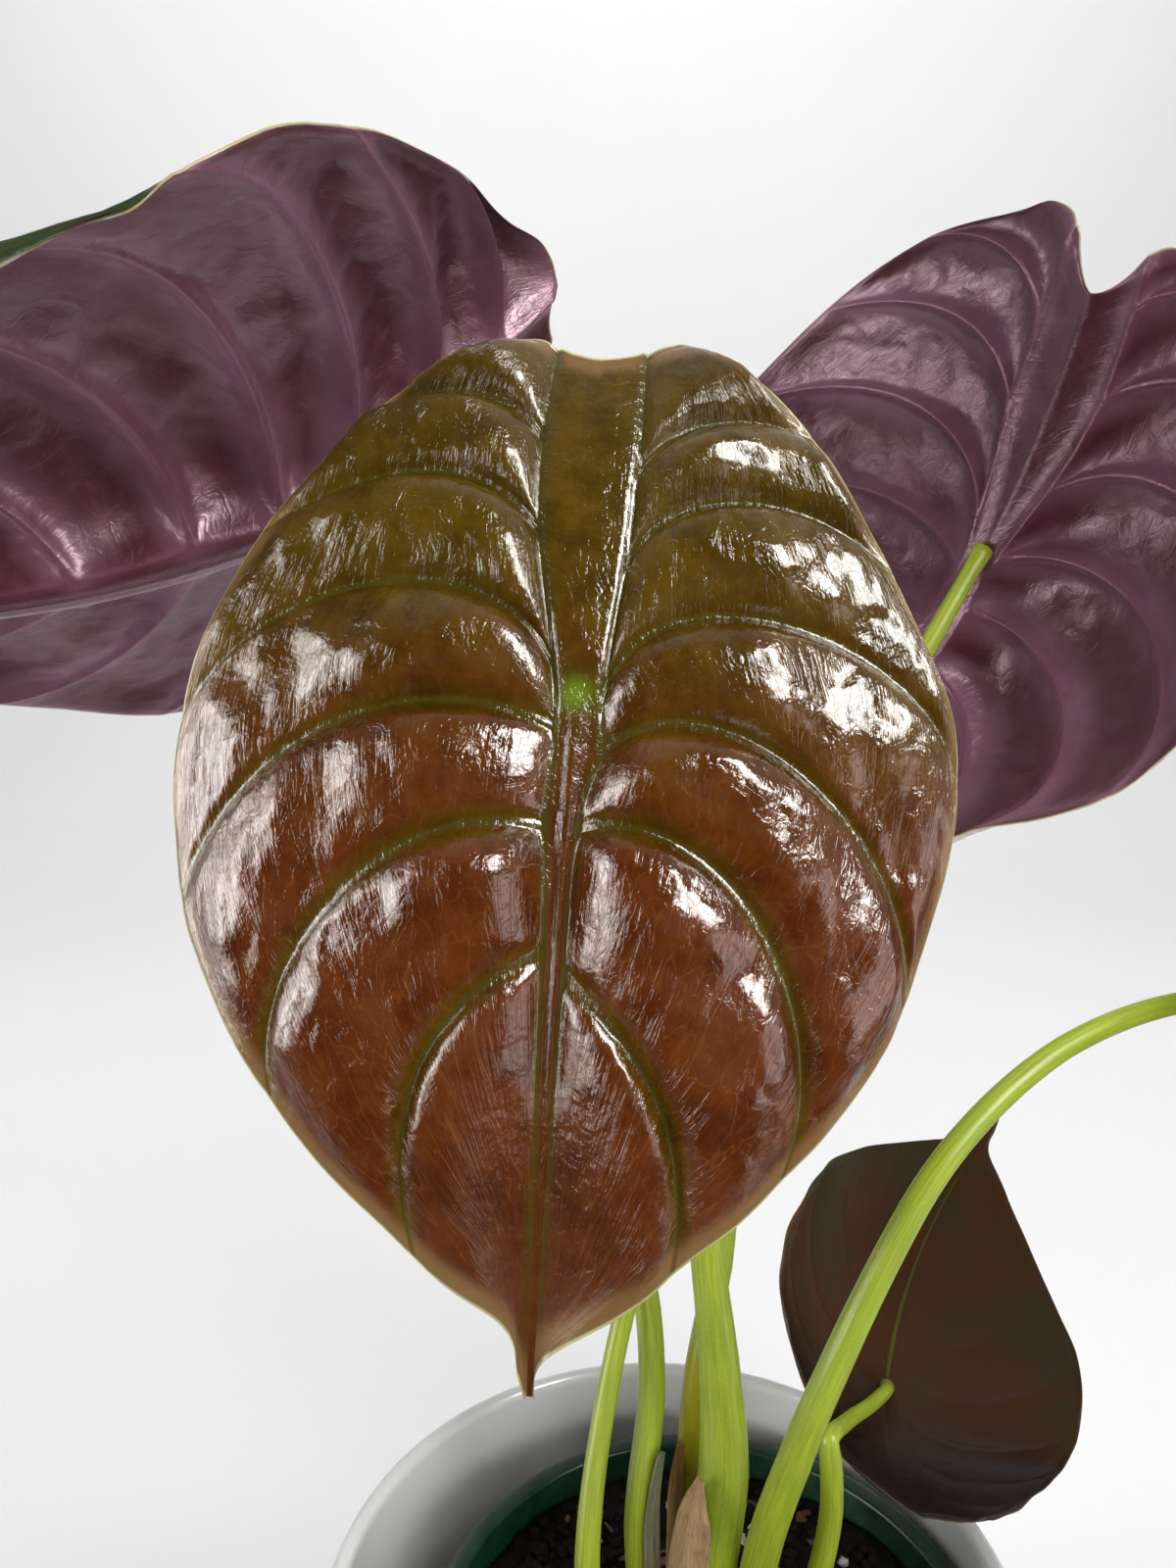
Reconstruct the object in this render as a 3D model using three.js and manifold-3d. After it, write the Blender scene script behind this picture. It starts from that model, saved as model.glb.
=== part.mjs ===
// Potted red secret alocasia: six peltate, quilted leaves on long stems, growing from a crown
// in a peat-filled nursery pot that stands inside a white outer pot.
// Millimetres, +Z up. The origin is the centre of the outer pot's base, on the surface it stands on.
// The viewer stands on the -Y side, and +X is to the viewer's right.
import * as THREE from 'three';
import { mergeVertices } from 'three/addons/utils/BufferGeometryUtils.js';
import Module from 'manifold-3d';

const wasm = await Module();
wasm.setup();

// Driving dimensions
const potHeight = 128;
const potRimRadius = 70;
const potWall = 4;
const potFloor = 5;
const potBaseRadius = 55;
const nurseryRimRadius = 57;
const nurseryDrop = 9;
const nurseryShift = new THREE.Vector2(7.8, -2.5);
const nurseryWall = 1.2;
const nurseryBaseRadius = 41;
const soilDrop = 7;
const seatGap = 0.3;
const bladeThickness = 0.9;
const smallBladeThickness = 0.75;
const potSides = 48;

// Levels worked out from them
const nurseryRimZ = potHeight - nurseryDrop;
const soilZ = nurseryRimZ - soilDrop;
const nurseryBaseZ = potFloor + seatGap;
const soilBaseZ = nurseryBaseZ + nurseryWall + seatGap;

// Materials
const standard = (color, roughness, metalness = 0) =>
  new THREE.MeshStandardMaterial({ color, roughness, metalness });
const leafMaterial = standard(0x5a3418, 0.25, 0.15);
const youngLeafMaterial = standard(0x3f2a1c, 0.35, 0.1);
const stemMaterial = standard(0x9cc24a, 0.45);
const sheathMaterial = standard(0xa98762, 0.8);
const potMaterial = standard(0xf2f1ec, 0.25);
const nurseryMaterial = standard(0x124a36, 0.45);
const soilMaterial = standard(0x1d1410, 0.95);
const crownMaterial = standard(0x6e5a34, 0.8);

// Small helpers
const radians = THREE.MathUtils.degToRad;
const lerp = THREE.MathUtils.lerp;
const clamp = THREE.MathUtils.clamp;
const smooth = (x) => THREE.MathUtils.smoothstep(x, 0, 1);
const vector = (list) => new THREE.Vector3(...list);

// A Catmull-Rom value at u on evenly counted points, each a number or a list of numbers
function along(points, u) {
  const last = points.length - 1;
  const at = clamp(u, 0, last - 1e-9);
  const i = Math.floor(at);
  const f = at - i;
  const corners = [points[Math.max(i - 1, 0)], points[i], points[i + 1], points[Math.min(i + 2, last)]];
  const mix = (a, b, c, d) =>
    0.5 * (2 * b + (c - a) * f + (2 * a - 5 * b + 4 * c - d) * f * f + (3 * b - a - 3 * c + d) * f ** 3);
  if (typeof corners[0] === 'number') return mix(...corners);
  return corners[0].map((_, k) => mix(...corners.map((corner) => corner[k])));
}

// A repeatable scatter value from 0 to 1 for whole numbers i and j
function scatter(i, j) {
  const wave = Math.sin(i * 127.1 + j * 311.7) * 43758.5453;
  return wave - Math.floor(wave);
}

function toSolid(geometry) {
  const bare = geometry.clone();
  bare.deleteAttribute('normal');
  bare.deleteAttribute('uv');
  const merged = mergeVertices(bare, 1e-4);
  return new wasm.Manifold(new wasm.Mesh({
    numProp: 3,
    vertProperties: Float32Array.from(merged.attributes.position.array),
    triVerts: Uint32Array.from(merged.index.array),
  }));
}

function toGeometry(solid) {
  const mesh = solid.getMesh();
  const geometry = new THREE.BufferGeometry();
  geometry.setAttribute('position', new THREE.Float32BufferAttribute(mesh.vertProperties, 3));
  geometry.setIndex(Array.from(mesh.triVerts));
  geometry.computeVertexNormals();
  return geometry;
}

// A closed geometry from a list of vectors and a list of triangles
function fromLists(points, faces) {
  const geometry = new THREE.BufferGeometry();
  geometry.setAttribute('position', new THREE.Float32BufferAttribute(points.flatMap((p) => p.toArray()), 3));
  geometry.setIndex(faces.flat());
  geometry.computeVertexNormals();
  return geometry;
}

// Faces of a thin slab: a grid of upper points, then the same grid of lower points, and a rim round both
function slabFaces(rows, columns) {
  const count = rows * columns;
  const upper = (i, j) => i * columns + j;
  const faces = [];
  for (let i = 0; i < rows - 1; i += 1) {
    for (let j = 0; j < columns - 1; j += 1) {
      const [p, q, r, s] = [upper(i, j), upper(i, j + 1), upper(i + 1, j + 1), upper(i + 1, j)];
      faces.push([p, q, r], [p, r, s], [p + count, r + count, q + count], [p + count, s + count, r + count]);
    }
  }
  const border = [];
  for (let j = 0; j < columns - 1; j += 1) border.push(upper(0, j));
  for (let i = 0; i < rows - 1; i += 1) border.push(upper(i, columns - 1));
  for (let j = columns - 1; j > 0; j -= 1) border.push(upper(rows - 1, j));
  for (let i = rows - 1; i > 0; i -= 1) border.push(upper(i, 0));
  border.forEach((p, k) => {
    const q = border[(k + 1) % border.length];
    faces.push([p, p + count, q], [q, p + count, q + count]);
  });
  return faces;
}

// One half of a blade laid flat. All lengths are in hundredths of the blade's length: the first number
// is the distance out from the midrib, the second the distance from the stem's seat towards the drip tip.
// Places along the blade are counted in side veins: 0 is the lobe's end, 1 to 6 are the veins, 7 the tip.
const fullHalf = {
  margin: [[12.8, -34.5], [22.9, -27.7], [32.4, -15.1], [38.7, 4.0], [36.8, 21.8],
    [25.4, 39.1], [11.3, 52.9], [2.9, 59.8], [1.3, 64.7], [0.5, 67.5]],
  rib: [[4.2, -37.1], [4.9, -26.2], [4.6, -16.0], [2.4, -2.9],
    [1.6, 3.2], [2.0, 12.4], [1.4, 24.0], [0.25, 67.5]],
  leave: [28, 51, 53, 60.7, 21.4, 9, -21.4, -60],
  arrive: [10, -35.7, -36.8, -68.8, -78.1, -105.4, -108.7, -70],
  lobe: [[6.1, -37.9], [9.3, -37.2]],
};
const leanHalf = {
  margin: [[11.6, -37.3], [22.1, -28.5], [30.3, -14.9], [37.8, 4.9], [32.9, 28.3],
    [21.6, 43.4], [12.4, 52.9], [8.5, 57.2], [1.2, 63.0], [0.5, 67.5]],
  rib: [[4.7, -37.3], [4.4, -23.0], [3.8, -12.8], [2.5, -0.4],
    [2.6, 5.1], [0.9, 12.3], [0.4, 25.7], [0.25, 67.5]],
  leave: [28, 57.4, 68.4, 74.4, 41.5, 12.8, -36.3, -60],
  arrive: [10, -19.8, -45.2, -74.9, -100.7, -109.1, -93.4, -70],
  lobe: [[7.0, -38.2], [8.6, -38.4]],
};
const marginPlaces = [0, 1, 2, 3, 4, 5, 6, 6.5, 6.8, 7];

function marginPoint(half, s) {
  let k = 0;
  while (k < marginPlaces.length - 2 && marginPlaces[k + 1] < s) k += 1;
  const f = (s - marginPlaces[k]) / (marginPlaces[k + 1] - marginPlaces[k]);
  return along(half.margin, k + f);
}

// The side vein through place s leaves the rib and arrives at the margin at the half's own angles.
// t runs from 0 on the rib to 1 on the margin.
function sideVein(half, s, t) {
  const start = along(half.rib, s);
  const end = marginPoint(half, s);
  const leave = radians(along(half.leave, s));
  const arrive = radians(along(half.arrive, s));
  const span = Math.hypot(end[0] - start[0], end[1] - start[1]);
  const leaveArm = 0.42 * span;
  const arriveArm = 0.38 * span;
  const near = [start[0] + Math.cos(leave) * leaveArm, start[1] - Math.sin(leave) * leaveArm];
  const far = [end[0] - Math.cos(arrive) * arriveArm, end[1] + Math.sin(arrive) * arriveArm];
  const w = 1 - t;
  const weights = [w ** 3, 3 * w * w * t, 3 * w * t * t, t ** 3];
  const mix = (k) => weights[0] * start[k] + weights[1] * near[k] + weights[2] * far[k] + weights[3] * end[k];
  return [mix(0), mix(1)];
}

// A flat point of a half: the side veins fan out, and the first rows ease into the round end of the lobe
function flatPoint(half, s, t) {
  const point = sideVein(half, s, t);
  if (s >= 1) return point;
  const lobeEnd = along([half.rib[0], ...half.lobe, half.margin[0]], 3 * t);
  const lobeVein = sideVein(half, 0, t);
  const share = smooth(1 - s);
  return point.map((value, k) => value + share * (lobeEnd[k] - lobeVein[k]));
}

// Relief, in hundredths of the blade's length: quilted bulges between sunken side veins
const quiltHeight = 1.7;
const quiltFullness = 0.8;
const quiltLean = 0.62;
const channelDepth = 0.8;
const channelWidth = 0.06;
const wavesPerVein = 2.9;
const lobeRelief = 0.45;
const lastBulge = 6.9;
const tipFade = 1.2;
function relief(leaf, s, t) {
  const between = Math.sin(Math.PI * (s - Math.floor(s))) ** quiltFullness;
  const across = Math.sin(Math.PI * t ** quiltLean);
  const fade = smooth((lastBulge - s) / tipFade) * lerp(lobeRelief, 1, smooth(s));
  const wave = leaf.wave * t ** 3 * Math.sin(s * wavesPerVein + leaf.wavePhase);
  const channel = -channelDepth * Math.exp(-t / channelWidth);
  return leaf.quilt * quiltHeight * between * across * fade + wave + channel * fade;
}

// Leaves. at: the seat of the stem; tip: direction of the midrib there; up: normal of the upper face.
// length: whole length; droop: degrees that the midrib bends towards the tip and towards the lobes;
// each half has a width, a fold and a curl (lobe end, tip end) in degrees, bent down when positive.
const leaves = {
  front: {
    at: [-18.4, -19.4, 310], tip: [-0.067, -0.299, -0.954], up: [0, -0.987, 0.163],
    length: 174.6, droop: [22, 14], twist: 0, bow: 0, notch: 1.2, wave: 0.5, wavePhase: 0.4, quilt: 1,
    halves: [
      { shape: leanHalf, width: 1, fold: [-4, -4], curl: [24, 24], stagger: 0 },
      { shape: fullHalf, width: 1, fold: [-4, -4], curl: [24, 24], stagger: 0 },
    ],
  },
  left: {
    at: [-79.4, 66.2, 341.7], tip: [-0.851, -0.322, -0.415], up: [-0.442, 0.013, 0.897],
    length: 221, droop: [-35, -25], twist: -25, bow: -1.9, notch: 3, wave: 0.7, wavePhase: 1.1, quilt: 1,
    halves: [
      { shape: fullHalf, width: 1.22, fold: [-52, -48], curl: [20, 90], stagger: 0 },
      { shape: fullHalf, width: 1.14, fold: [-14, -8], curl: [50, 16], stagger: 0 },
    ],
  },
  right: {
    at: [86.4, 101.1, 336.7], tip: [-0.265, 0.439, -0.859], up: [0.749, 0.654, 0.103],
    length: 206.3, droop: [75, 20], twist: -6, bow: 0.9, notch: 5, wave: 0.7, wavePhase: 2.3, quilt: 1,
    halves: [
      { shape: fullHalf, width: 1.18, fold: [-29, 10], curl: [38, 20], stagger: 0 },
      { shape: fullHalf, width: 1.06, fold: [-31, 28], curl: [52, 72], stagger: -0.5 },
    ],
  },
  young: {
    at: [52.3, 37.0, 143.4], tip: [0.298, 0.920, 0.256], up: [-0.536, 0.383, -0.752],
    length: 125.5, droop: [45, 45], twist: -3.5, bow: -4.3, notch: 1.5,
    wave: 0.6, wavePhase: 0.2, quilt: 0.45,
    halves: [
      { shape: fullHalf, width: 0.88, fold: [30, 30], curl: [1, 22], stagger: 0 },
      { shape: fullHalf, width: 0.99, fold: [-7, 9], curl: [54, 36], stagger: 0 },
    ],
  },
  side: {
    at: [148, 26, 238], tip: [0.38, 0.04, -0.92], up: [0.90, -0.22, 0.36],
    length: 178, droop: [34, 16], twist: 4, bow: 0.6, notch: 3, wave: 0.7, wavePhase: 3.1, quilt: 1,
    halves: [
      { shape: leanHalf, width: 1.04, fold: [-12, -6], curl: [28, 24], stagger: 0 },
      { shape: fullHalf, width: 1, fold: [-10, -6], curl: [26, 26], stagger: 0 },
    ],
  },
  rear: {
    at: [-4, 78, 249], tip: [0.06, 0.50, -0.86], up: [-0.05, 0.86, 0.50],
    length: 112, droop: [26, 14], twist: 0, bow: 0.4, notch: 2, wave: 0.6, wavePhase: 4.0, quilt: 0.8,
    halves: [
      { shape: fullHalf, width: 1, fold: [-10, -6], curl: [26, 24], stagger: 0 },
      { shape: leanHalf, width: 1.02, fold: [-10, -6], curl: [26, 24], stagger: 0 },
    ],
  },
};
const widestHalf = 37.8;
const tipReach = 67.5;
const lobeReach = 33;

// The axes of a leaf: out to the right of the midrib, along to the tip, and up from the upper face
function leafFrame(leaf) {
  const along3 = vector(leaf.tip).normalize();
  const given = vector(leaf.up);
  const up = given.addScaledVector(along3, -given.dot(along3)).normalize();
  return { out: along3.clone().cross(up), along: along3, up, at: vector(leaf.at) };
}

// Bends a flat point of one half (0 left, 1 right) into the hanging leaf, height above the face included
function bladePoint(leaf, halfIndex, a, b, height) {
  const half = leaf.halves[halfIndex];
  const side = halfIndex === 0 ? -1 : 1;
  const unit = leaf.length / 100;
  const arc = (distance, degrees, reach) => {
    const rate = radians(degrees) / reach;
    if (Math.abs(rate) < 1e-7) return [distance, 0];
    return [Math.sin(rate * distance) / rate, -(1 - Math.cos(rate * distance)) / rate];
  };
  const [y, z] = b > 0 ? arc(b, leaf.droop[0], tipReach) : arc(-b, leaf.droop[1], lobeReach);
  const turn = b > 0 ? -radians(leaf.droop[0]) * b / tipReach : -radians(leaf.droop[1]) * b / lobeReach;
  const twist = radians(leaf.twist) * b / tipReach;
  const normal = new THREE.Vector3(0, -Math.sin(turn), Math.cos(turn));
  const across = new THREE.Vector3(1, 0, 0);
  const out = across.clone().multiplyScalar(Math.cos(twist)).addScaledVector(normal, Math.sin(twist));
  const rise = across.multiplyScalar(-Math.sin(twist)).addScaledVector(normal, Math.cos(twist));
  const place = clamp((b + lobeReach) / (tipReach + lobeReach), 0, 1);
  const fold = radians(lerp(...half.fold, place));
  const rate = radians(lerp(...half.curl, place)) / widestHalf || 1e-6;
  const reach = a * half.width;
  const angle = fold + rate * reach;
  const sideways = (Math.sin(angle) - Math.sin(fold)) / rate;
  const downwards = (Math.cos(fold) - Math.cos(angle)) / rate;
  const bow = leaf.bow * (b / tipReach) ** 2 * Math.sign(b);
  const point = new THREE.Vector3(0, b > 0 ? y : -y, z)
    .addScaledVector(out, side * sideways + bow)
    .addScaledVector(rise, -downwards);
  const skin = rise.clone().multiplyScalar(Math.cos(angle)).addScaledVector(out, side * Math.sin(angle));
  return { point: point.multiplyScalar(unit), skin, unit, height };
}

function toWorld(frame, local) {
  return frame.at.clone().addScaledVector(frame.out, local.x)
    .addScaledVector(frame.along, local.y).addScaledVector(frame.up, local.z);
}

// Rows run from the lobes to the drip tip and fall on every side vein
const rowPlaces = [];
for (let vein = 0; vein < 6; vein += 1) rowPlaces.push(vein, vein + 0.16, vein + 0.5, vein + 0.84);
rowPlaces.push(6, 6.25, 6.5, 6.75, 6.9, 7);
const acrossPlaces = [0, 0.16, 0.42, 0.74, 1];

// Every point of a row: left margin to left rib, the middle, right rib to right margin
function bladeRow(leaf, s) {
  const staggered = (half) => s + half.stagger * smooth(s / 1.2) * smooth((7 - s) / 1.2);
  const sample = (index, t) => {
    const place = staggered(leaf.halves[index]);
    const [a, b] = flatPoint(leaf.halves[index].shape, place, t);
    return bladePoint(leaf, index, a, b, relief(leaf, s, t));
  };
  const left = acrossPlaces.map((t) => sample(0, t)).reverse();
  const right = acrossPlaces.map((t) => sample(1, t));
  const ribs = leaf.halves.map((half) => along(half.shape.rib, staggered(half))[1]);
  const middleB = (ribs[0] + ribs[1]) / 2 + leaf.notch * clamp(1 - s, 0, 1);
  const middleHeight = -channelDepth * lerp(0.4, 1, smooth(s / 3)) * smooth((lastBulge - s) / tipFade);
  const pair = [0, 1].map((index) => bladePoint(leaf, index, 0, middleB, middleHeight));
  const middle = { ...pair[0], skin: pair[0].skin.clone().add(pair[1].skin).normalize() };
  return [...left, middle, ...right];
}

function blade(leaf, thickness) {
  const frame = leafFrame(leaf);
  const rows = rowPlaces.map((s) => bladeRow(leaf, s));
  const columns = rows[0].length;
  const points = [];
  for (const depth of [0, thickness]) {
    for (const row of rows) {
      for (const { point, skin, unit, height } of row) {
        points.push(toWorld(frame, point.clone().addScaledVector(skin, height * unit - depth)));
      }
    }
  }
  return fromLists(points, slabFaces(rows.length, columns));
}

// Stems. route: points from the soil up to the leaf, in mm; thick: diameters along the route;
// the last point is the seat under the blade, worked out from the leaf.
const stems = {
  front: {
    route: [[6, -1, soilZ], [7.5, -1.5, 132.5], [9, 2, 151], [8, 5.5, 172], [6.5, 8.5, 193],
      [3, 12.5, 238], [-6, 9, 278], [-14.5, -4, 303]],
    thick: [12.6, 11, 10.2, 8.4, 6.9, 6, 5.6, 5.2, 4.8],
  },
  left: {
    route: [[-4.5, 3.5, soilZ], [-6.1, 5, 137], [-5, 7.5, 148], [-3.2, 13.4, 159], [-3.7, 21.1, 175],
      [-10, 31, 203], [-20, 40, 233], [-38, 50, 273], [-60, 60, 314]],
    thick: [6, 6, 6, 5.8, 5.6, 5.2, 5, 4.8, 4.6, 4.4],
  },
  right: {
    route: [[4.6, 10.5, soilZ], [5.2, 13.5, 140], [6.9, 16.8, 163], [11.4, 20.8, 185], [18, 34, 232],
      [38, 57, 277], [64.5, 81.6, 308], [75.7, 93, 322.5]],
    thick: [6.4, 6.1, 5.9, 5.7, 5.4, 5.2, 4.8, 4.6, 4.4],
  },
  young: {
    route: [[25.5, 0, soilZ], [30, -2.4, 133], [31.6, -3.3, 147], [30.9, -4.6, 158.5], [30.4, -5, 164],
      [31.6, -3, 164], [34.2, 2.9, 160.6], [39.5, 13.5, 154.8], [45.7, 23.2, 150.2], [50.8, 30.4, 148.2]],
    thick: [5.2, 4.8, 4.6, 4.4, 3.6, 3.4, 3.3, 3.2, 3.1, 3, 2.8],
  },
  side: {
    route: [[18.5, -4.5, soilZ], [16.5, -7.5, 135.9], [21.4, -16.2, 168.3], [26.1, -21.2, 188.9],
      [40.8, -17.6, 219.6], [52.3, -10.9, 231.1], [72.4, 0.5, 241.5], [99.5, 13.8, 245.5], [122, 21, 244]],
    thick: [7.4, 7.1, 6.4, 5.7, 5, 4.7, 4.4, 4.3, 4.2, 4.2],
  },
  rear: {
    route: [[-14.5, -2.5, soilZ], [-16.7, -2.1, 133], [-14.3, 5.6, 154.7], [-8.9, 15.5, 177.5],
      [-1, 24, 203], [0, 42, 226], [-2.5, 62, 242]],
    thick: [5.6, 5.2, 4.6, 4.4, 4.2, 4, 3.8, 3.6],
  },
};
const footDepth = 11;
const stemSides = 10;

// Where the stem ends: just under the blade, lower where the halves fold down round it
function stemSeat(leaf, thickness, radius) {
  const frame = leafFrame(leaf);
  const { point, skin, unit } = bladePoint(leaf, 0, 0, 0, 0);
  const normal = skin.clone().add(bladePoint(leaf, 1, 0, 0, 0).skin).normalize();
  const foldedDown = leaf.halves[0].fold[0] + leaf.halves[1].fold[0] > 0;
  const rise = foldedDown ? radius * Math.tan(skin.angleTo(normal)) : 0;
  const under = point.clone().addScaledVector(normal, -channelDepth * unit - thickness - seatGap - rise);
  const direction = toWorld(frame, normal).sub(frame.at).normalize();
  return { place: toWorld(frame, under), normal: direction };
}

// A round tapering stem with a straight foot in the soil and an oblique end under the blade
function stem(name, thickness) {
  const { route, thick } = stems[name];
  const seat = stemSeat(leaves[name], thickness, thick.at(-1) / 2);
  const points = [...route.map(vector), seat.place];
  const curve = new THREE.CatmullRomCurve3(points, false, 'centripetal');
  const steps = 2 * (points.length - 1);
  const rings = [];
  const [footRadius] = thick;
  const foot = points[0];
  const ring = (centre, u, v, radius) => Array.from({ length: stemSides }, (_, k) => {
    const angle = 2 * Math.PI * k / stemSides;
    const spoke = u.clone().multiplyScalar(Math.cos(angle)).addScaledVector(v, Math.sin(angle));
    return centre.clone().addScaledVector(spoke, radius);
  });
  let u = new THREE.Vector3(1, 0, 0);
  const v = new THREE.Vector3(0, 1, 0);
  rings.push(ring(foot.clone().setZ(foot.z - footDepth), u, v, footRadius / 2));
  rings.push(ring(foot.clone().setZ(foot.z + 2), u, v, footRadius / 2));
  for (let k = 1; k <= steps; k += 1) {
    const position = curve.getPoint(k / steps);
    const direction = k === steps ? seat.normal.clone() : curve.getTangent(k / steps);
    u = u.addScaledVector(direction, -u.dot(direction)).normalize();
    const side = direction.clone().cross(u);
    rings.push(ring(position, u, side, along(thick, k / steps * (thick.length - 1)) / 2));
  }
  const vertices = rings.flat();
  const faces = [];
  for (let i = 0; i < rings.length - 1; i += 1) {
    for (let k = 0; k < stemSides; k += 1) {
      const next = (k + 1) % stemSides;
      const [p, q] = [i * stemSides + k, i * stemSides + next];
      faces.push([p, q, q + stemSides], [p, q + stemSides, p + stemSides]);
    }
  }
  const lowest = vertices.push(foot.clone().setZ(foot.z - footDepth)) - 1;
  const highest = vertices.push(seat.place.clone()) - 1;
  const lastRing = (rings.length - 1) * stemSides;
  for (let k = 0; k < stemSides; k += 1) {
    const next = (k + 1) % stemSides;
    faces.push([lowest, next, k], [highest, lastRing + k, lastRing + next]);
  }
  return fromLists(vertices, faces);
}

// Dried sheaths: thin curled strips that stand on the crown beside the stems. path: the middle of the
// outer face; wide: widths along it; facing: the way the strip bulges, in degrees from +X; radius: its curl.
const sheathThickness = 0.7;
const sheaths = {
  front: {
    path: [[0, -5.2, 114.3], [0.6, -5.8, 122], [1.6, -6, 132],
      [3, -5.6, 142], [4.6, -4.4, 150], [5.6, -3.6, 154]],
    wide: [11, 11, 10, 8, 4.5, 1.4], facing: 215, radius: 8,
  },
  left: {
    path: [[-2.2, 0, 114.3], [-2.8, 0.3, 122], [-3.4, 0.8, 132],
      [-3.2, 2, 142], [-2, 4, 150], [-1.2, 5, 153]],
    wide: [4.2, 4.2, 4, 3.4, 2, 1], facing: 300, radius: 4.4,
  },
  rear: {
    path: [[1.6, 7.7, 114.3], [1.8, 8.5, 122], [2, 9.4, 130],
      [2.1, 10.2, 138], [2.5, 11.3, 146], [2.9, 11.9, 150]],
    wide: [5, 5, 4.6, 4, 2.4, 1], facing: 225, radius: 4.3,
  },
};

function sheath({ path, wide, facing, radius }) {
  const columns = 5;
  const rows = 11;
  const corners = [];
  for (const inset of [0, sheathThickness]) {
    for (let i = 0; i < rows; i += 1) {
      const place = i / (rows - 1) * (path.length - 1);
      const centre = vector(along(path, place));
      const spread = along(wide, place) / 2 / radius;
      for (let j = 0; j < columns; j += 1) {
        const angle = radians(facing) + spread * (2 * j / (columns - 1) - 1);
        const reach = radius - inset;
        corners.push(new THREE.Vector3(
          centre.x - radius * Math.cos(radians(facing)) + reach * Math.cos(angle),
          centre.y - radius * Math.sin(radians(facing)) + reach * Math.sin(angle),
          centre.z,
        ));
      }
    }
  }
  return fromLists(corners, slabFaces(rows, columns));
}

// Pots: each profile is turned round the pot's own axis
function turned(profile, sides = potSides) {
  const outline = profile.map(([r, z]) => new THREE.Vector2(r, z));
  return mergeVertices(stripped(new THREE.LatheGeometry(outline, sides).rotateX(Math.PI / 2)), 1e-3);
}

function stripped(geometry) {
  geometry.deleteAttribute('normal');
  geometry.deleteAttribute('uv');
  return geometry;
}

function outerPot() {
  const innerRadius = potRimRadius - potWall;
  const innerBase = potBaseRadius - potWall;
  const lipRadius = potWall / 2;
  const lip = Array.from({ length: 5 }, (_, k) => {
    const angle = Math.PI * k / 4;
    return [
      potRimRadius - lipRadius + Math.cos(angle) * lipRadius,
      potHeight - lipRadius + Math.sin(angle) * lipRadius,
    ];
  });
  return turned([
    [0, 0], [potBaseRadius - 3, 0], [potBaseRadius, 2.5],
    [potRimRadius - 3.6, 90], [potRimRadius - 1, 112], ...lip,
    [innerRadius, 106], [innerRadius - 3, 88],
    [innerBase, 8], [innerBase - 2.5, potFloor], [0, potFloor],
  ]);
}

const nurserySlope = (nurseryRimRadius - 3 - nurseryBaseRadius) / (nurseryRimZ - nurseryBaseZ);
const nurseryRadiusAt = (z) => nurseryBaseRadius + nurserySlope * (z - nurseryBaseZ);
const drainHoles = 8;
const drainRadius = 4;
const drainCircle = 30;

function nurseryPot() {
  const rimBand = 7;
  const rimBase = nurseryRimZ - rimBand;
  const shell = turned([
    [0, nurseryBaseZ], [nurseryBaseRadius - 2, nurseryBaseZ], [nurseryBaseRadius, nurseryBaseZ + 2],
    [nurseryRadiusAt(rimBase), rimBase], [nurseryRimRadius - 0.4, rimBase],
    [nurseryRimRadius, nurseryRimZ - 0.8], [nurseryRimRadius - 1, nurseryRimZ],
    [nurseryRadiusAt(nurseryRimZ) - nurseryWall, nurseryRimZ - 0.6],
    [nurseryBaseRadius - nurseryWall, nurseryBaseZ + nurseryWall + 1],
    [nurseryBaseRadius - 3, nurseryBaseZ + nurseryWall], [0, nurseryBaseZ + nurseryWall],
  ]);
  let solid = toSolid(shell);
  for (let k = 0; k < drainHoles; k += 1) {
    const angle = 2 * Math.PI * k / drainHoles;
    const hole = new THREE.CylinderGeometry(drainRadius, drainRadius, 8, 10).rotateX(Math.PI / 2)
      .translate(drainCircle * Math.cos(angle), drainCircle * Math.sin(angle), nurseryBaseZ);
    solid = solid.subtract(toSolid(hole));
  }
  return toGeometry(solid).translate(nurseryShift.x, nurseryShift.y, 0);
}

// Crown: a short stubby corm, its domed top just above the soil
const crown = { x: 5.5, y: 1.5, halfLength: 26, halfWidth: 15, depth: 26, sides: 20 };

function crownPrism(grow, bottom, top) {
  const halfLength = crown.halfLength + grow;
  const halfWidth = crown.halfWidth + grow;
  const shape = new THREE.Shape(Array.from({ length: crown.sides }, (_, k) => {
    const angle = 2 * Math.PI * k / crown.sides;
    return new THREE.Vector2(halfLength * Math.cos(angle), halfWidth * Math.sin(angle));
  }));
  const prism = new THREE.ExtrudeGeometry(shape, { depth: top - bottom, bevelEnabled: false });
  return prism.translate(crown.x, crown.y, bottom);
}

function corm() {
  const dome = turned([
    [0, -crown.depth], [0.8, -crown.depth], [1, 3 - crown.depth],
    [1, -1], [0.92, 1.2], [0.6, 2], [0, 2],
  ], crown.sides);
  return toSolid(dome.scale(crown.halfLength, crown.halfWidth, 1).translate(crown.x, crown.y, soilZ));
}

// Straight holes that the stems' feet stand in, long enough to come out above the corm
const footHoleLength = 40;
function footHoles() {
  return Object.values(stems).map(({ route, thick }) => {
    const radius = thick[0] / 2 + seatGap;
    const [x, y, z] = route[0];
    const hole = new THREE.CylinderGeometry(radius, radius, footHoleLength, stemSides)
      .rotateX(Math.PI / 2).rotateZ(Math.PI / 2)
      .translate(x, y, z - footDepth - seatGap + footHoleLength / 2);
    return toSolid(hole);
  });
}

function crownBody() {
  return toGeometry(footHoles().reduce((solid, hole) => solid.subtract(hole), corm()));
}

// Soil: a filled round block with a crumbly top and an opening for the crown
const crumbHeight = 3.2;
const soilRings = 8;
const soilSides = 36;

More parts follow.
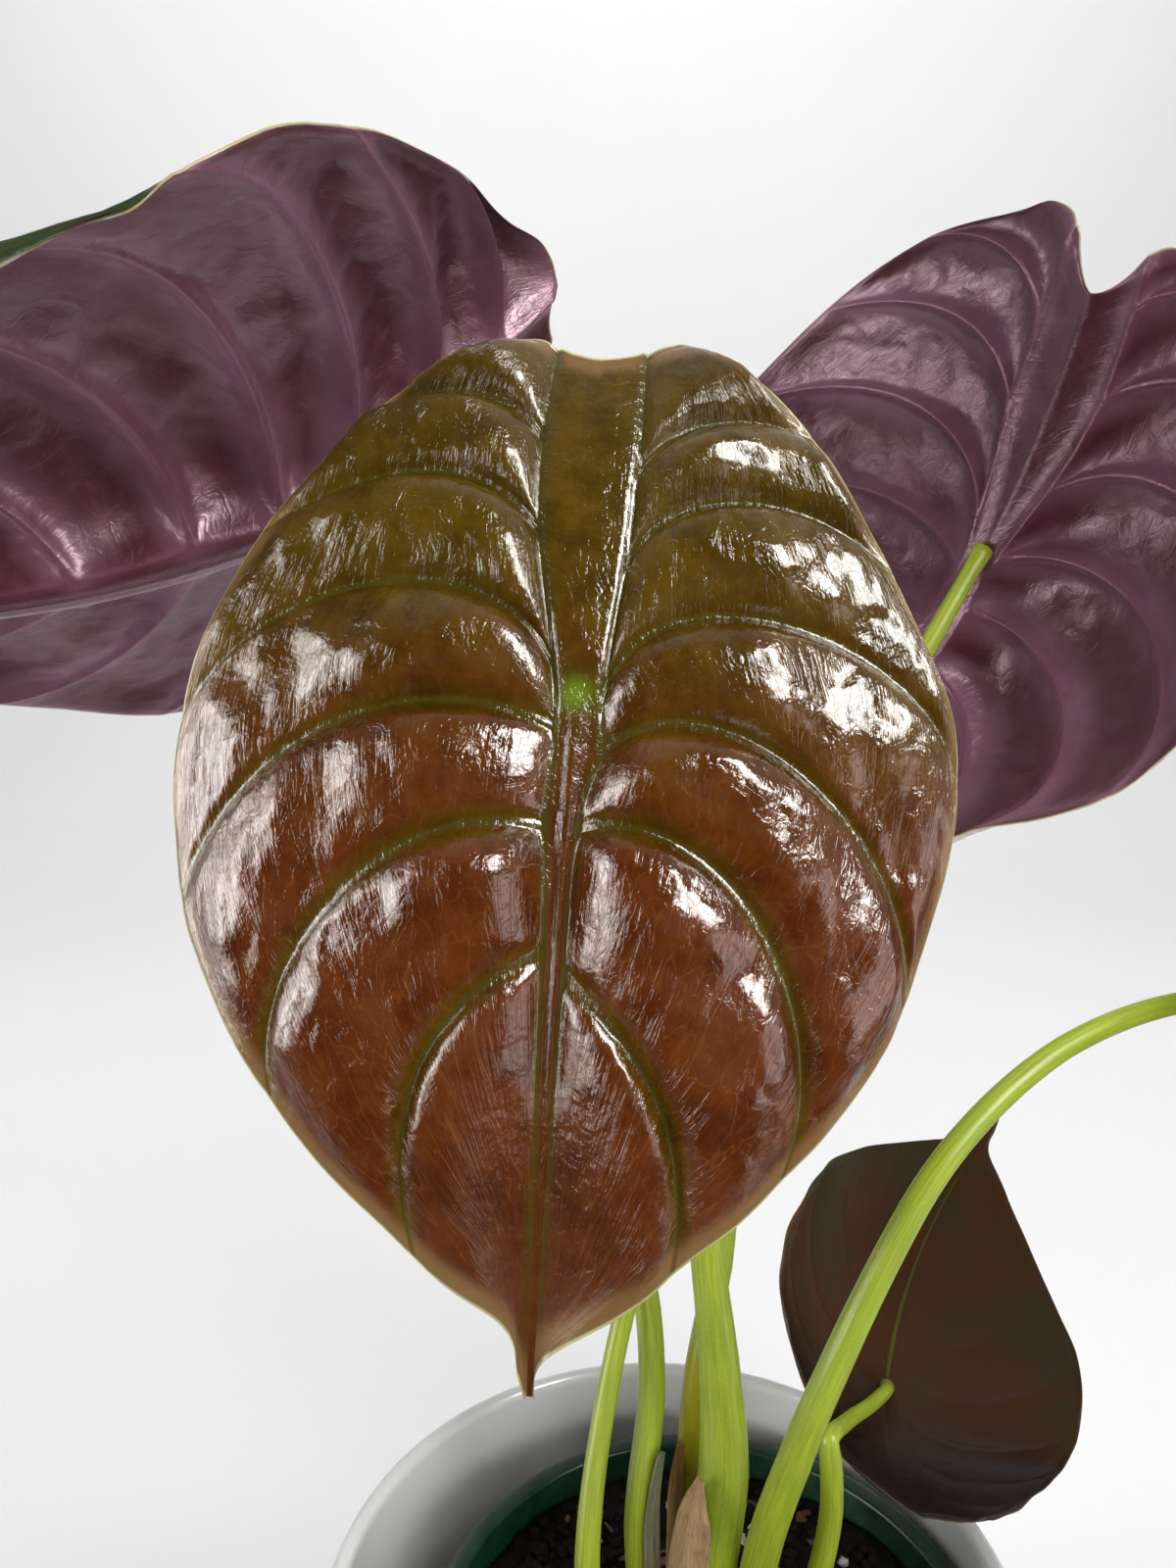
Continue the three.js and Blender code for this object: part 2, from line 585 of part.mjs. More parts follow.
function soilBody() {
  const topRadius = nurseryRadiusAt(soilZ) - nurseryWall - 2 * seatGap;
  const top = Array.from({ length: soilRings + 1 }, (_, k) => {
    const share = (1 - k / soilRings) ** 0.85;
    return [topRadius * share, soilZ];
  });
  const block = turned([
    [0, soilBaseZ], [nurseryBaseRadius - 4, soilBaseZ],
    [nurseryBaseRadius - nurseryWall - 1, soilBaseZ + 3], ...top,
  ], soilSides);
  const spots = block.attributes.position;
  for (let i = 0; i < spots.count; i += 1) {
    const reach = Math.hypot(spots.getX(i), spots.getY(i));
    const inside = spots.getZ(i) > soilZ - 1 && reach < topRadius - 1;
    if (inside) spots.setZ(i, soilZ + (scatter(i, soilRings) - 0.5) * crumbHeight);
  }
  const opening = toSolid(crownPrism(seatGap, soilZ - crown.depth - seatGap, soilZ + 10));
  const body = toSolid(block.translate(nurseryShift.x, nurseryShift.y, 0));
  return toGeometry(body.subtract(opening));
}

const plant = new THREE.Group();

function add(name, geometry, material) {
  const mesh = new THREE.Mesh(geometry, material);
  mesh.name = name;
  plant.add(mesh);
}

add('outer_pot', outerPot(), potMaterial);
add('nursery_pot', nurseryPot(), nurseryMaterial);
add('soil', soilBody(), soilMaterial);
add('crown', crownBody(), crownMaterial);
for (const [name, leaf] of Object.entries(leaves)) {
  const small = name === 'young';
  const thickness = small ? smallBladeThickness : bladeThickness;
  add(`stem_${name}`, stem(name, thickness), stemMaterial);
  add(`blade_${name}`, blade(leaf, thickness), small ? youngLeafMaterial : leafMaterial);
}

for (const [name, strip] of Object.entries(sheaths)) {
  add(`sheath_${name}`, sheath(strip), sheathMaterial);
}

export default plant;
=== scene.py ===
"""Potted red secret alocasia: glossy quilted copper leaves with wine-purple undersides."""

import math

import bmesh
import bpy
import numpy as np
from mathutils import Matrix, Vector, noise


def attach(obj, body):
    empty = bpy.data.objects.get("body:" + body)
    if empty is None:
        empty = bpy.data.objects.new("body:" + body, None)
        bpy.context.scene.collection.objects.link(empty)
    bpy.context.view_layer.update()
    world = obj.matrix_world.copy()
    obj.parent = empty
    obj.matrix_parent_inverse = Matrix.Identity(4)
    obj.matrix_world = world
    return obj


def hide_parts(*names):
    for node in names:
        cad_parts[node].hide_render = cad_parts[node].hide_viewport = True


bl_info = {
    "name": "Potted Red Secret Alocasia",
    "version": (1, 0, 0),
    "blender": (4, 5, 0),
    "location": "View3D > Sidebar > Alocasia",
    "description": "Builds a potted alocasia with quilted copper leaves",
    "category": "Add Mesh",
}

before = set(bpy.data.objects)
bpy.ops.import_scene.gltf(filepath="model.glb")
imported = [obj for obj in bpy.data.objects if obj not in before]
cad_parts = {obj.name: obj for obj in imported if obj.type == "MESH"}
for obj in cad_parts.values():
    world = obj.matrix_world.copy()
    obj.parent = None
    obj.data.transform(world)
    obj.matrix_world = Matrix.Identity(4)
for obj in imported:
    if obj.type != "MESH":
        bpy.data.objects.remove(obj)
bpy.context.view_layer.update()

MM = 0.001
RIM_HEIGHT = 128.0
SOIL_HEIGHT = 112.0
SOIL_RADIUS = 51.0
NURSERY_CENTRE = (7.8, -2.5)
DRAIN_HOLES = 8
DRAIN_RADIUS = 4.0
DRAIN_CIRCLE = 30.0
CROWN = {"x": 5.5, "y": 1.5, "half_length": 25.2, "half_width": 14.4, "rise": 2.3, "depth": 22}

# One half of a blade laid flat, in hundredths of the blade's length: distance out from the midrib, then
# distance from the stem's seat towards the drip tip. Places count side veins: 0 lobe's end, 7 drip tip.
FULL_HALF = {
    "margin": [(12.8, -34.5), (22.9, -27.7), (32.4, -15.1), (38.7, 4.0), (36.8, 21.8),
               (25.4, 39.1), (11.3, 52.9), (2.9, 59.8), (1.3, 64.7), (0.5, 67.5)],
    "rib": [(4.2, -37.1), (4.9, -26.2), (4.6, -16.0), (2.4, -2.9), (1.6, 3.2),
            (2.0, 12.4), (1.4, 24.0), (0.25, 67.5)],
    "leave": [28, 51, 53, 60.7, 21.4, 9, -21.4, -60],
    "arrive": [10, -35.7, -36.8, -68.8, -78.1, -105.4, -108.7, -70],
    "lobe": [(6.1, -37.9), (9.3, -37.2)],
}
LEAN_HALF = {
    "margin": [(11.6, -37.3), (22.1, -28.5), (30.3, -14.9), (37.8, 4.9), (32.9, 28.3),
               (21.6, 43.4), (12.4, 52.9), (8.5, 57.2), (1.2, 63.0), (0.5, 67.5)],
    "rib": [(4.7, -37.3), (4.4, -23.0), (3.8, -12.8), (2.5, -0.4), (2.6, 5.1),
            (0.9, 12.3), (0.4, 25.7), (0.25, 67.5)],
    "leave": [28, 57.4, 68.4, 74.4, 41.5, 12.8, -36.3, -60],
    "arrive": [10, -19.8, -45.2, -74.9, -100.7, -109.1, -93.4, -70],
    "lobe": [(7.0, -38.2), (8.6, -38.4)],
}
MARGIN_PLACES = [0, 1, 2, 3, 4, 5, 6, 6.5, 6.8, 7]
WIDEST_HALF = 37.8
TIP_REACH = 67.5
LOBE_REACH = 33.0


def half(shape, width, fold, curl, stagger=0.0):
    """One half of a leaf: its outline, its width, and the degrees it folds and curls from lobe to tip."""
    return {**shape, "width": width, "fold": fold, "curl": curl, "stagger": stagger}


# The leaves' poses: at is the stem's seat in mm, tip the midrib's direction there, up the upper face's
# normal; length is in mm, and droop, twist, fold and curl are in degrees
LEAVES = {
    "front": {
        "at": (-18.4, -19.4, 310), "tip": (-0.067, -0.299, -0.954), "up": (0, -0.987, 0.163),
        "length": 174.6, "droop": (22, 14), "twist": 0, "bow": 0, "notch": 1.2,
        "wave": 0.5, "wave_phase": 0.4, "quilt": 1.0, "veins": 1.0, "seed": 3.0,
        "halves": (half(LEAN_HALF, 1, (-4, -4), (24, 24)), half(FULL_HALF, 1, (-4, -4), (24, 24))),
    },
    "left": {
        "at": (-79.4, 66.2, 341.7), "tip": (-0.851, -0.322, -0.415), "up": (-0.442, 0.013, 0.897),
        "length": 221, "droop": (-35, -25), "twist": -25, "bow": -1.9, "notch": 3,
        "wave": 0.7, "wave_phase": 1.1, "quilt": 1.15, "veins": 1.0, "seed": 11.0,
        "roll": {"side": -1, "start": 3.0, "end": 5.6, "width": 4.0, "turn": 155},
        "halves": (half(FULL_HALF, 1.22, (-52, -48), (20, 90)), half(FULL_HALF, 1.14, (-14, -8), (50, 16))),
    },
    "right": {
        "at": (86.4, 101.1, 336.7), "tip": (-0.265, 0.439, -0.859), "up": (0.749, 0.654, 0.103),
        "length": 206.3, "droop": (75, 20), "twist": -6, "bow": 0.9, "notch": 5,
        "wave": 0.7, "wave_phase": 2.3, "quilt": 0.85, "veins": 0.8, "seed": 23.0,
        "halves": (half(FULL_HALF, 1.18, (-29, 10), (38, 20)),
                   half(FULL_HALF, 1.06, (-31, 28), (52, 72), -0.5)),
    },
    "young": {
        "at": (52.3, 37.0, 143.4), "tip": (0.298, 0.920, 0.256), "up": (-0.536, 0.383, -0.752),
        "length": 125.5, "droop": (45, 45), "twist": -3.5, "bow": -4.3, "notch": 1.5,
        "wave": 0.6, "wave_phase": 0.2, "quilt": 0.09, "veins": 0.12, "seed": 31.0,
        "halves": (half(FULL_HALF, 0.88, (30, 30), (1, 22)), half(FULL_HALF, 0.99, (-7, 9), (54, 36))),
    },
    "side": {
        "at": (148, 26, 238), "tip": (0.38, 0.04, -0.92), "up": (0.90, -0.22, 0.36),
        "length": 178, "droop": (34, 16), "twist": 4, "bow": 0.6, "notch": 3,
        "wave": 0.7, "wave_phase": 3.1, "quilt": 1.0, "veins": 1.0, "seed": 43.0,
        "halves": (half(LEAN_HALF, 1.04, (-12, -6), (28, 24)), half(FULL_HALF, 1, (-10, -6), (26, 26))),
    },
    "rear": {
        "at": (-4, 78, 249), "tip": (0.06, 0.50, -0.86), "up": (-0.05, 0.86, 0.50),
        "length": 112, "droop": (26, 14), "twist": 0, "bow": 0.4, "notch": 2,
        "wave": 0.6, "wave_phase": 4.0, "quilt": 0.8, "veins": 0.9, "seed": 59.0,
        "halves": (half(FULL_HALF, 1, (-10, -6), (26, 24)), half(LEAN_HALF, 1.02, (-10, -6), (26, 24))),
    },
}

# The stems' routes from the soil to the blade, in mm, and the diameters along them
STEMS = {
    "front": {
        "route": [(6, -1, 112), (7.8, -1.5, 132.5), (10.8, 2, 151), (10, 5.5, 172), (7.6, 8.5, 193),
                  (3, 12.5, 238), (-6, 9, 278), (-14.5, -4, 303)],
        "thick": [12.6, 11, 10.2, 8.4, 6.9, 6, 5.6, 5.2, 4.8],
    },
    "left": {
        "route": [(-4.5, 3.5, 112), (-6.1, 5, 137), (-5, 7.5, 148), (-3.2, 13.4, 159), (-3.7, 21.1, 175),
                  (-10, 31, 203), (-20, 40, 233), (-38, 50, 273), (-60, 60, 314)],
        "thick": [6, 6, 6, 5.8, 5.6, 5.2, 5, 4.8, 4.6, 4.4],
    },
    "right": {
        "route": [(4.6, 10.5, 112), (5.2, 13.5, 140), (6.9, 16.8, 163), (11.4, 20.8, 185), (18, 34, 232),
                  (38, 57, 277), (64.5, 81.6, 308), (75.7, 93, 322.5)],
        "thick": [6.4, 6.1, 5.9, 5.7, 5.4, 5.2, 4.8, 4.6, 4.4],
    },
    "young": {
        "route": [(25.5, 0, 112), (30, -2.4, 133), (31.6, -3.3, 147), (30.9, -4.6, 158.5), (30.4, -5, 164),
                  (31.6, -3, 164), (34.2, 2.9, 160.6), (39.5, 13.5, 154.8), (45.7, 23.2, 150.2),
                  (50.8, 30.4, 148.2)],
        "thick": [5.2, 4.8, 4.6, 4.4, 3.6, 3.4, 3.3, 3.2, 3.1, 3, 2.8],
    },
    "side": {
        "route": [(18.5, -4.5, 112), (16.5, -7.5, 135.9), (21.4, -16.2, 168.3), (26.1, -21.2, 188.9),
                  (40.8, -17.6, 219.6), (52.3, -10.9, 231.1), (72.4, 0.5, 241.5), (99.5, 13.8, 245.5),
                  (122, 21, 244)],
        "thick": [7.4, 7.1, 6.4, 5.7, 5, 4.7, 4.4, 4.3, 4.2, 4.2],
    },
    "rear": {
        "route": [(-14.5, -2.5, 112), (-16.7, -2.1, 133), (-14.3, 5.6, 154.7), (-8.9, 15.5, 177.5),
                  (-1, 24, 203), (0, 42, 226), (-2.5, 62, 242)],
        "thick": [5.6, 5.2, 4.6, 4.4, 4.2, 4, 3.8, 3.6],
    },
}

# The dried sheaths: the route of their middle and their width along it, the compass angle they face, and the
# radius they curl to
SHEATHS = {
    "front": {
        "path": [(0, -5.2, 114.3), (0.6, -5.8, 122), (1.6, -6, 132), (3, -5.6, 142),
                 (4.6, -4.4, 150), (5.6, -3.6, 154)],
        "wide": [16, 15.5, 13.5, 10, 5.5, 1.4], "facing": 222, "radius": 8,
    },
    "left": {
        "path": [(-2.2, 0, 114.3), (-2.8, 0.3, 122), (-3.4, 0.8, 132), (-3.2, 2, 142),
                 (-2, 4, 150), (-1.2, 5, 153)],
        "wide": [4.2, 4.2, 4, 3.4, 2, 1], "facing": 300, "radius": 4.4,
    },
    "rear": {
        "path": [(1.6, 7.7, 114.3), (1.8, 8.5, 122), (2, 9.4, 130), (2.1, 10.2, 138),
                 (2.5, 11.3, 146), (2.9, 11.9, 150)],
        "wide": [5, 5, 4.6, 4, 2.4, 1], "facing": 225, "radius": 4.3,
    },
}


class PlantSizes(bpy.types.PropertyGroup):
    """Sizes of the pots, the leaves and their relief."""

    pot_rim: bpy.props.FloatProperty(
        name="Outer pot rim", description="Outer radius of the white pot's rim",
        default=0.070, unit="LENGTH")
    pot_wall: bpy.props.FloatProperty(
        name="Outer pot wall", description="Thickness of the white pot's wall",
        default=0.004, unit="LENGTH")
    nursery_rim: bpy.props.FloatProperty(
        name="Nursery pot rim", description="Outer radius of the green pot's rim",
        default=0.057, unit="LENGTH")
    blade_thickness: bpy.props.FloatProperty(
        name="Blade thickness", description="Thickness of a leaf between its veins",
        default=0.0008, unit="LENGTH")
    quilt_height: bpy.props.FloatProperty(
        name="Quilting", description="How far the blade bulges between its side veins",
        default=0.0066, unit="LENGTH")
    vein_depth: bpy.props.FloatProperty(
        name="Vein groove", description="Depth of the groove along a side vein",
        default=0.0010, unit="LENGTH")
    blade_rows: bpy.props.IntProperty(
        name="Blade rows", description="Grid rows along each large blade", default=252, min=56)
    blade_columns: bpy.props.IntProperty(
        name="Blade columns", description="Grid columns across each large blade", default=152, min=40)


class PlantColours(bpy.types.PropertyGroup):
    """Colours of the leaves, stems, pots and soil."""

    copper: bpy.props.FloatVectorProperty(
        name="Copper", description="Red-brown of the upper face",
        subtype="COLOR", size=3, default=(0.105, 0.021, 0.003))
    olive: bpy.props.FloatVectorProperty(
        name="Olive", description="Olive gold along the veins and at the lobes", subtype="COLOR", size=3,
        default=(0.090, 0.050, 0.002))
    net: bpy.props.FloatVectorProperty(
        name="Net veins", description="Pale orange of the finest veins", subtype="COLOR", size=3,
        default=(0.27, 0.10, 0.02))
    wine: bpy.props.FloatVectorProperty(
        name="Wine", description="Purple of the underside",
        subtype="COLOR", size=3, default=(0.068, 0.011, 0.020))
    wine_rib: bpy.props.FloatVectorProperty(
        name="Wine rib", description="Brighter purple of the raised ribs", subtype="COLOR", size=3,
        default=(0.130, 0.028, 0.055))
    leaf_edge: bpy.props.FloatVectorProperty(
        name="Leaf edge", description="Cream-green line round each leaf", subtype="COLOR", size=3,
        default=(0.62, 0.58, 0.28))
    young: bpy.props.FloatVectorProperty(
        name="Young leaf", description="Dark brown of the small leaf", subtype="COLOR", size=3,
        default=(0.075, 0.030, 0.012))
    stem: bpy.props.FloatVectorProperty(
        name="Stem", description="Light green of the stems",
        subtype="COLOR", size=3, default=(0.37, 0.46, 0.032))
    sheath: bpy.props.FloatVectorProperty(
        name="Dry sheath", description="Tan of the dried sheaths",
        subtype="COLOR", size=3, default=(0.50, 0.31, 0.14))
    glaze: bpy.props.FloatVectorProperty(
        name="Glaze", description="White of the outer pot",
        subtype="COLOR", size=3, default=(0.88, 0.88, 0.87))
    nursery: bpy.props.FloatVectorProperty(
        name="Nursery pot", description="Dark green plastic",
        subtype="COLOR", size=3, default=(0.004, 0.030, 0.014))
    peat: bpy.props.FloatVectorProperty(
        name="Peat", description="Dark damp soil",
        subtype="COLOR", size=3, default=(0.0095, 0.0048, 0.0030))


def sizes():
    return bpy.context.scene.alocasia_sizes


def colours():
    return bpy.context.scene.alocasia_colours


# Shared shape functions

def along(points, place):
    """A smooth value at place on evenly counted points."""
    points = np.asarray(points, float)
    last = len(points) - 1
    place = np.clip(place, 0, last - 1e-9)
    i = np.floor(place).astype(int)
    f = place - i
    if points.ndim > 1:
        f = f[..., None]
    a, b, c, d = points[np.maximum(i - 1, 0)], points[i], points[i + 1], points[np.minimum(i + 2, last)]
    square, cube = 2 * a - 5 * b + 4 * c - d, 3 * b - a - 3 * c + d
    return 0.5 * (2 * b + (c - a) * f + square * f ** 2 + cube * f ** 3)


def smooth(x, low=0.0, high=1.0):
    """Eases from 0 to 1 while x runs from low to high."""
    x = np.clip((x - low) / (high - low), 0, 1)
    return x * x * (3 - 2 * x)


def bell(distance, width):
    return np.exp(-(distance / width) ** 2)


def side_vein(shape, s, t):
    """The point at t along the side vein through place s of a flat half."""
    start = along(shape["rib"], s)
    end = along(shape["margin"], np.interp(s, MARGIN_PLACES, range(len(MARGIN_PLACES))))
    leave = np.radians(along(shape["leave"], s))
    arrive = np.radians(along(shape["arrive"], s))
    span = np.linalg.norm(end - start, axis=-1)[..., None]
    near = start + np.stack([np.cos(leave), -np.sin(leave)], -1) * span * 0.42
    far = end - np.stack([np.cos(arrive), -np.sin(arrive)], -1) * span * 0.38
    t = t[..., None]
    return (1 - t) ** 3 * start + 3 * (1 - t) ** 2 * t * near + 3 * (1 - t) * t * t * far + t ** 3 * end


def flat_point(shape, s, t):
    """A flat point of a half, easing into the round end of the lobe."""
    lobe = along([shape["rib"][0], *shape["lobe"], shape["margin"][0]], 3 * t)
    share = smooth(1 - s)[..., None]
    return side_vein(shape, s, t) + share * (lobe - side_vein(shape, np.zeros_like(s), t))


def bend(leaf, side, a, b):
    """Hangs flat points of one half in the leaf's own axes; also the upper face's normal there."""
    part = leaf["halves"][0 if side < 0 else 1]
    droop_ahead, droop_back = map(math.radians, leaf["droop"])

    def arc(distance, droop, reach):
        rate = droop / reach
        if abs(rate) < 1e-7:
            return distance, np.zeros_like(distance)
        return np.sin(rate * distance) / rate, -(1 - np.cos(rate * distance)) / rate

    ahead, back = np.maximum(b, 0), np.maximum(-b, 0)
    y_ahead, z_ahead = arc(ahead, droop_ahead, TIP_REACH)
    y_back, z_back = arc(back, droop_back, LOBE_REACH)
    turn = droop_back * back / LOBE_REACH - droop_ahead * ahead / TIP_REACH
    twist = np.radians(leaf["twist"]) * b / TIP_REACH
    zero = np.zeros_like(turn)
    normal = np.stack([zero, -np.sin(turn), np.cos(turn)], -1)
    across = np.stack([zero + 1, zero, zero], -1)
    out = across * np.cos(twist)[..., None] + normal * np.sin(twist)[..., None]
    rise = -across * np.sin(twist)[..., None] + normal * np.cos(twist)[..., None]
    share = np.clip((b + LOBE_REACH) / (TIP_REACH + LOBE_REACH), 0, 1)
    fold = np.radians(part["fold"][0] * (1 - share) + part["fold"][1] * share)
    rate = np.radians(part["curl"][0] * (1 - share) + part["curl"][1] * share) / WIDEST_HALF
    rate = np.where(np.abs(rate) < 1e-6, 1e-6, rate)
    angle = fold + rate * a * part["width"]
    sideways = side * (np.sin(angle) - np.sin(fold)) / rate + leaf["bow"] * (b / TIP_REACH) ** 2 * np.sign(b)
    downwards = (np.cos(fold) - np.cos(angle)) / rate
    point = np.stack([zero, y_ahead - y_back, z_ahead + z_back], -1)
    point = point + out * sideways[..., None] - rise * downwards[..., None]
    skin = rise * np.cos(angle)[..., None] + out * (side * np.sin(angle))[..., None]
    return point * leaf["length"] / 100, skin


def leaf_axes(leaf):
    """Rows for a leaf's axes: across it, towards its tip, and out of its upper face."""
    ahead = np.array(leaf["tip"], float)
    ahead /= np.linalg.norm(ahead)
    up = np.array(leaf["up"], float)
    up -= ahead * (up @ ahead)
    up /= np.linalg.norm(up)
    return np.stack([np.cross(ahead, up), ahead, up])


def noise_at(points, scale, seed):
    """Smooth noise from -1 to 1 at each point, the same on every run."""
    offset = Vector((seed, seed * 1.7, seed * 0.3))
    return np.array([noise.noise(Vector(p) * scale + offset) for p in points])


def new_piece(name, mesh, materials, slot, *nodes):
    """Links a finished mesh as a piece of the plant that rides on the root body."""
    piece = bpy.data.objects.new(name, mesh)
    bpy.context.scene.collection.objects.link(piece)
    for material in materials:
        mesh.materials.append(material)
    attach(piece, "root")
    if nodes:
        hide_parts(*nodes)
    return piece


def finished_mesh(name, bm, smooth_faces=True):
    for face in bm.faces:
        face.smooth = smooth_faces
    mesh = bpy.data.meshes.new(name)
    bm.to_mesh(mesh)
    bm.free()
    return mesh


def set_attribute(mesh, name, values):
    mesh.attributes.new(name, "FLOAT", "POINT").data.foreach_set("value", np.asarray(values, np.float32))


def set_uv(mesh, name, pairs):
    layer = mesh.uv_layers.new(name=name)
    corner = np.zeros(len(mesh.loops), int)
    mesh.loops.foreach_get("vertex_index", corner)
    layer.data.foreach_set("uv", np.asarray(pairs, np.float32)[corner].ravel())


# Blades

RIB_BAND = 0.10         # share of the grid's half width that lies between the two ribs
RIB_SINK = 0.85         # how deep the ribs lie below the blade, in mm
QUILT_LENGTH = 175      # the blade length, in mm, that the quilting's height is given for
LAST_PLACE = 6.9995     # just short of the drip tip, so that the last row has a width


def blade_relief(leaf, s, t, gap, out_mm, points):
    """Height of the upper face over the smooth sheet, in mm, and the distance to the nearest side vein."""
    size = sizes()
    quilt = size.quilt_height / MM * leaf["quilt"] * leaf["length"] / QUILT_LENGTH
    u = s - np.floor(s)
    distance = np.minimum(u, 1 - u) * gap
    fade = smooth(6.95 - s, 0, 1.1) * (0.5 + 0.5 * smooth(s))
    large = noise_at(points, 0.05, leaf["seed"])
    middle = noise_at(points, 0.14, leaf["seed"] + 5)
    small = noise_at(points, 0.38, leaf["seed"] + 9)
    # the blade swells into a pillow between two side veins, with steeper sides near the midrib
    steep = (1 - np.exp(-(distance / 2.4) ** 1.3)) * smooth(gap, 0, 12)
    pillow = np.sin(np.pi * u ** 0.9) ** 0.9
    pillow += (steep - pillow) * (0.36 - 0.2 * smooth(t, 0.3, 0.9))
    # it rises beside the midrib and sinks outwards
    rise = 1 - np.exp(-(out_mm / 9.5) ** 1.25)
    reach = rise * (0.20 + 1.16 * np.exp(-out_mm / 26)) * (1 - 0.9 * smooth(t, 0.80, 1))
    height = quilt * pillow * reach * (1 + 0.45 * large)
    lumps = (1.1 * large + 0.85 * middle + 0.30 * small) * leaf["quilt"] * smooth(distance, 0.3, 5)
    height += lumps * rise * (1 - 0.9 * smooth(t, 0.82, 1))
    # a side vein is a fine ridge in a groove that grows shallow outwards
    strong = (1 - 0.8 * smooth(t, 0.2, 0.9)) * leaf["veins"]
    groove = -size.vein_depth / MM * bell(distance, 1.6) + 0.75 * bell(distance, 0.6)
    height += groove * strong * smooth(t, 0, 0.03)
    # towards the drip tip the midrib lies in a channel
    height += 2.8 * (1 - np.exp(-(out_mm / 6.5) ** 1.5)) * smooth(s, 3.6, 5.5) * leaf["quilt"]
    # fine ripples cross the outer half, and short creases stand beside the veins
    ripple = np.sin(out_mm * 1.9 + 7 * middle) * 0.07 * smooth(t, 0.30, 0.65) * (1 - smooth(t, 0.88, 1))
    crease = np.sin(out_mm * 2.3 + 4 * middle) * 0.12 * bell(distance - 3.5, 3.0)
    crease *= smooth(out_mm, 2, 6) * (1 - t)
    height = (height + (ripple + crease) * leaf["quilt"]) * fade
    # the margin waves gently
    edge = leaf["wave"] * leaf["length"] / 100 * t ** 3 * np.sin(s * 2.9 + leaf["wave_phase"])
    edge += 0.2 * smooth(t, 0.8, 1.0) * np.sin(s * 9.0 + leaf["seed"])
    return height + edge, distance


def roll_margin(roll, place, edge_mm, point, skin, inward):
    """Curls a stretch of the margin under, as the leaf's roll says."""
    share = smooth(place, roll["start"], roll["start"] + 0.5)
    share = share * (1 - smooth(place, roll["end"] - 0.5, roll["end"]))
    beyond = np.maximum(roll["width"] - edge_mm, 0) * (share > 0.02)
    bent = math.radians(roll["turn"]) * np.maximum(share, 0.02)
    radius = roll["width"] / bent
    angle = beyond / radius
    outward = -inward
    point = point - outward * (beyond - radius * np.sin(angle))[:, None]
    point = point - skin * (radius * (1 - np.cos(angle)))[:, None]
    skin = skin * np.cos(angle)[:, None] + outward * np.sin(angle)[:, None]
    return point, skin


def blade_places(count_down, across, leaf):
    """Places of the grid's points on the flat leaf, with their distances to veins, ribs and edge."""
    down = np.minimum(count_down - 0.085 * np.sin(2 * np.pi * count_down), LAST_PLACE)
    outward = np.abs(across)
    t = np.clip((outward - RIB_BAND) / (1 - RIB_BAND), 0, 1)
    t = 0.55 * t + 0.45 * t ** 1.6
    in_band = outward < RIB_BAND
    band = np.clip(across / RIB_BAND, -1, 1)
    unit = leaf["length"] / 100
    flat = np.zeros((len(across), 2))
    gap, span = np.zeros(len(across)), np.zeros(len(across))
    ribs = []
    for side in (-1, 1):
        part = leaf["halves"][0 if side < 0 else 1]
        place = down + part["stagger"] * smooth(down, 0, 1.2) * smooth(7 - down, 0, 1.2)
        ribs.append(along(part["rib"], place))
        mine = (across < 0) if side < 0 else (across >= 0)
        s, reach = place[mine], t[mine]
        flat[mine] = flat_point(part, s, reach)
        later, sooner = np.minimum(s + 0.05, 7), np.maximum(s - 0.05, 0)
        step = flat_point(part, later, reach) - flat_point(part, sooner, reach)
        gap[mine] = np.linalg.norm(step, axis=-1) / (later - sooner) * unit
        chord = flat_point(part, s, np.ones_like(s)) - flat_point(part, s, np.zeros_like(s))
        span[mine] = np.linalg.norm(chord, axis=-1) * unit
    # between the ribs the sheet runs straight across from the left rib to the right one
    share = (band + 1) / 2
    rib_out = np.where(across < 0, ribs[0][:, 0], ribs[1][:, 0])
    band_b = ribs[0][:, 1] * (1 - share) + ribs[1][:, 1] * share
    band_b = band_b + leaf["notch"] * np.clip(1 - down, 0, 1) * (1 - band ** 2)
    flat[in_band] = np.stack([np.abs(band) * rib_out, band_b], -1)[in_band]
    return {
        "down": down, "t": t, "band": band, "in_band": in_band, "flat": flat, "gap": gap,
        "rib_out": rib_out * unit, "out_mm": np.maximum(flat[:, 0] - rib_out, 0) * unit,
        "edge_mm": np.minimum((1 - t) * span + 50 * in_band, down * gap),
    }


def two_sheets(rows, columns):
    """A grid over a reversed copy of it, with the grid's points and which of them are the copy's."""
    bm = bmesh.new()
    bmesh.ops.create_grid(bm, x_segments=columns, y_segments=rows, size=1.0)
    lower = bmesh.ops.duplicate(bm, geom=bm.verts[:] + bm.edges[:] + bm.faces[:])["geom"]
    lower_faces = [part for part in lower if isinstance(part, bmesh.types.BMFace)]
    bmesh.ops.reverse_faces(bm, faces=lower_faces)
    for face in lower_faces:
        face.material_index = 1
    bm.verts.index_update()
    is_lower = np.zeros(len(bm.verts), bool)
    is_lower[[part.index for part in lower if isinstance(part, bmesh.types.BMVert)]] = True
    return bm, np.array([v.co.xy for v in bm.verts]), is_lower


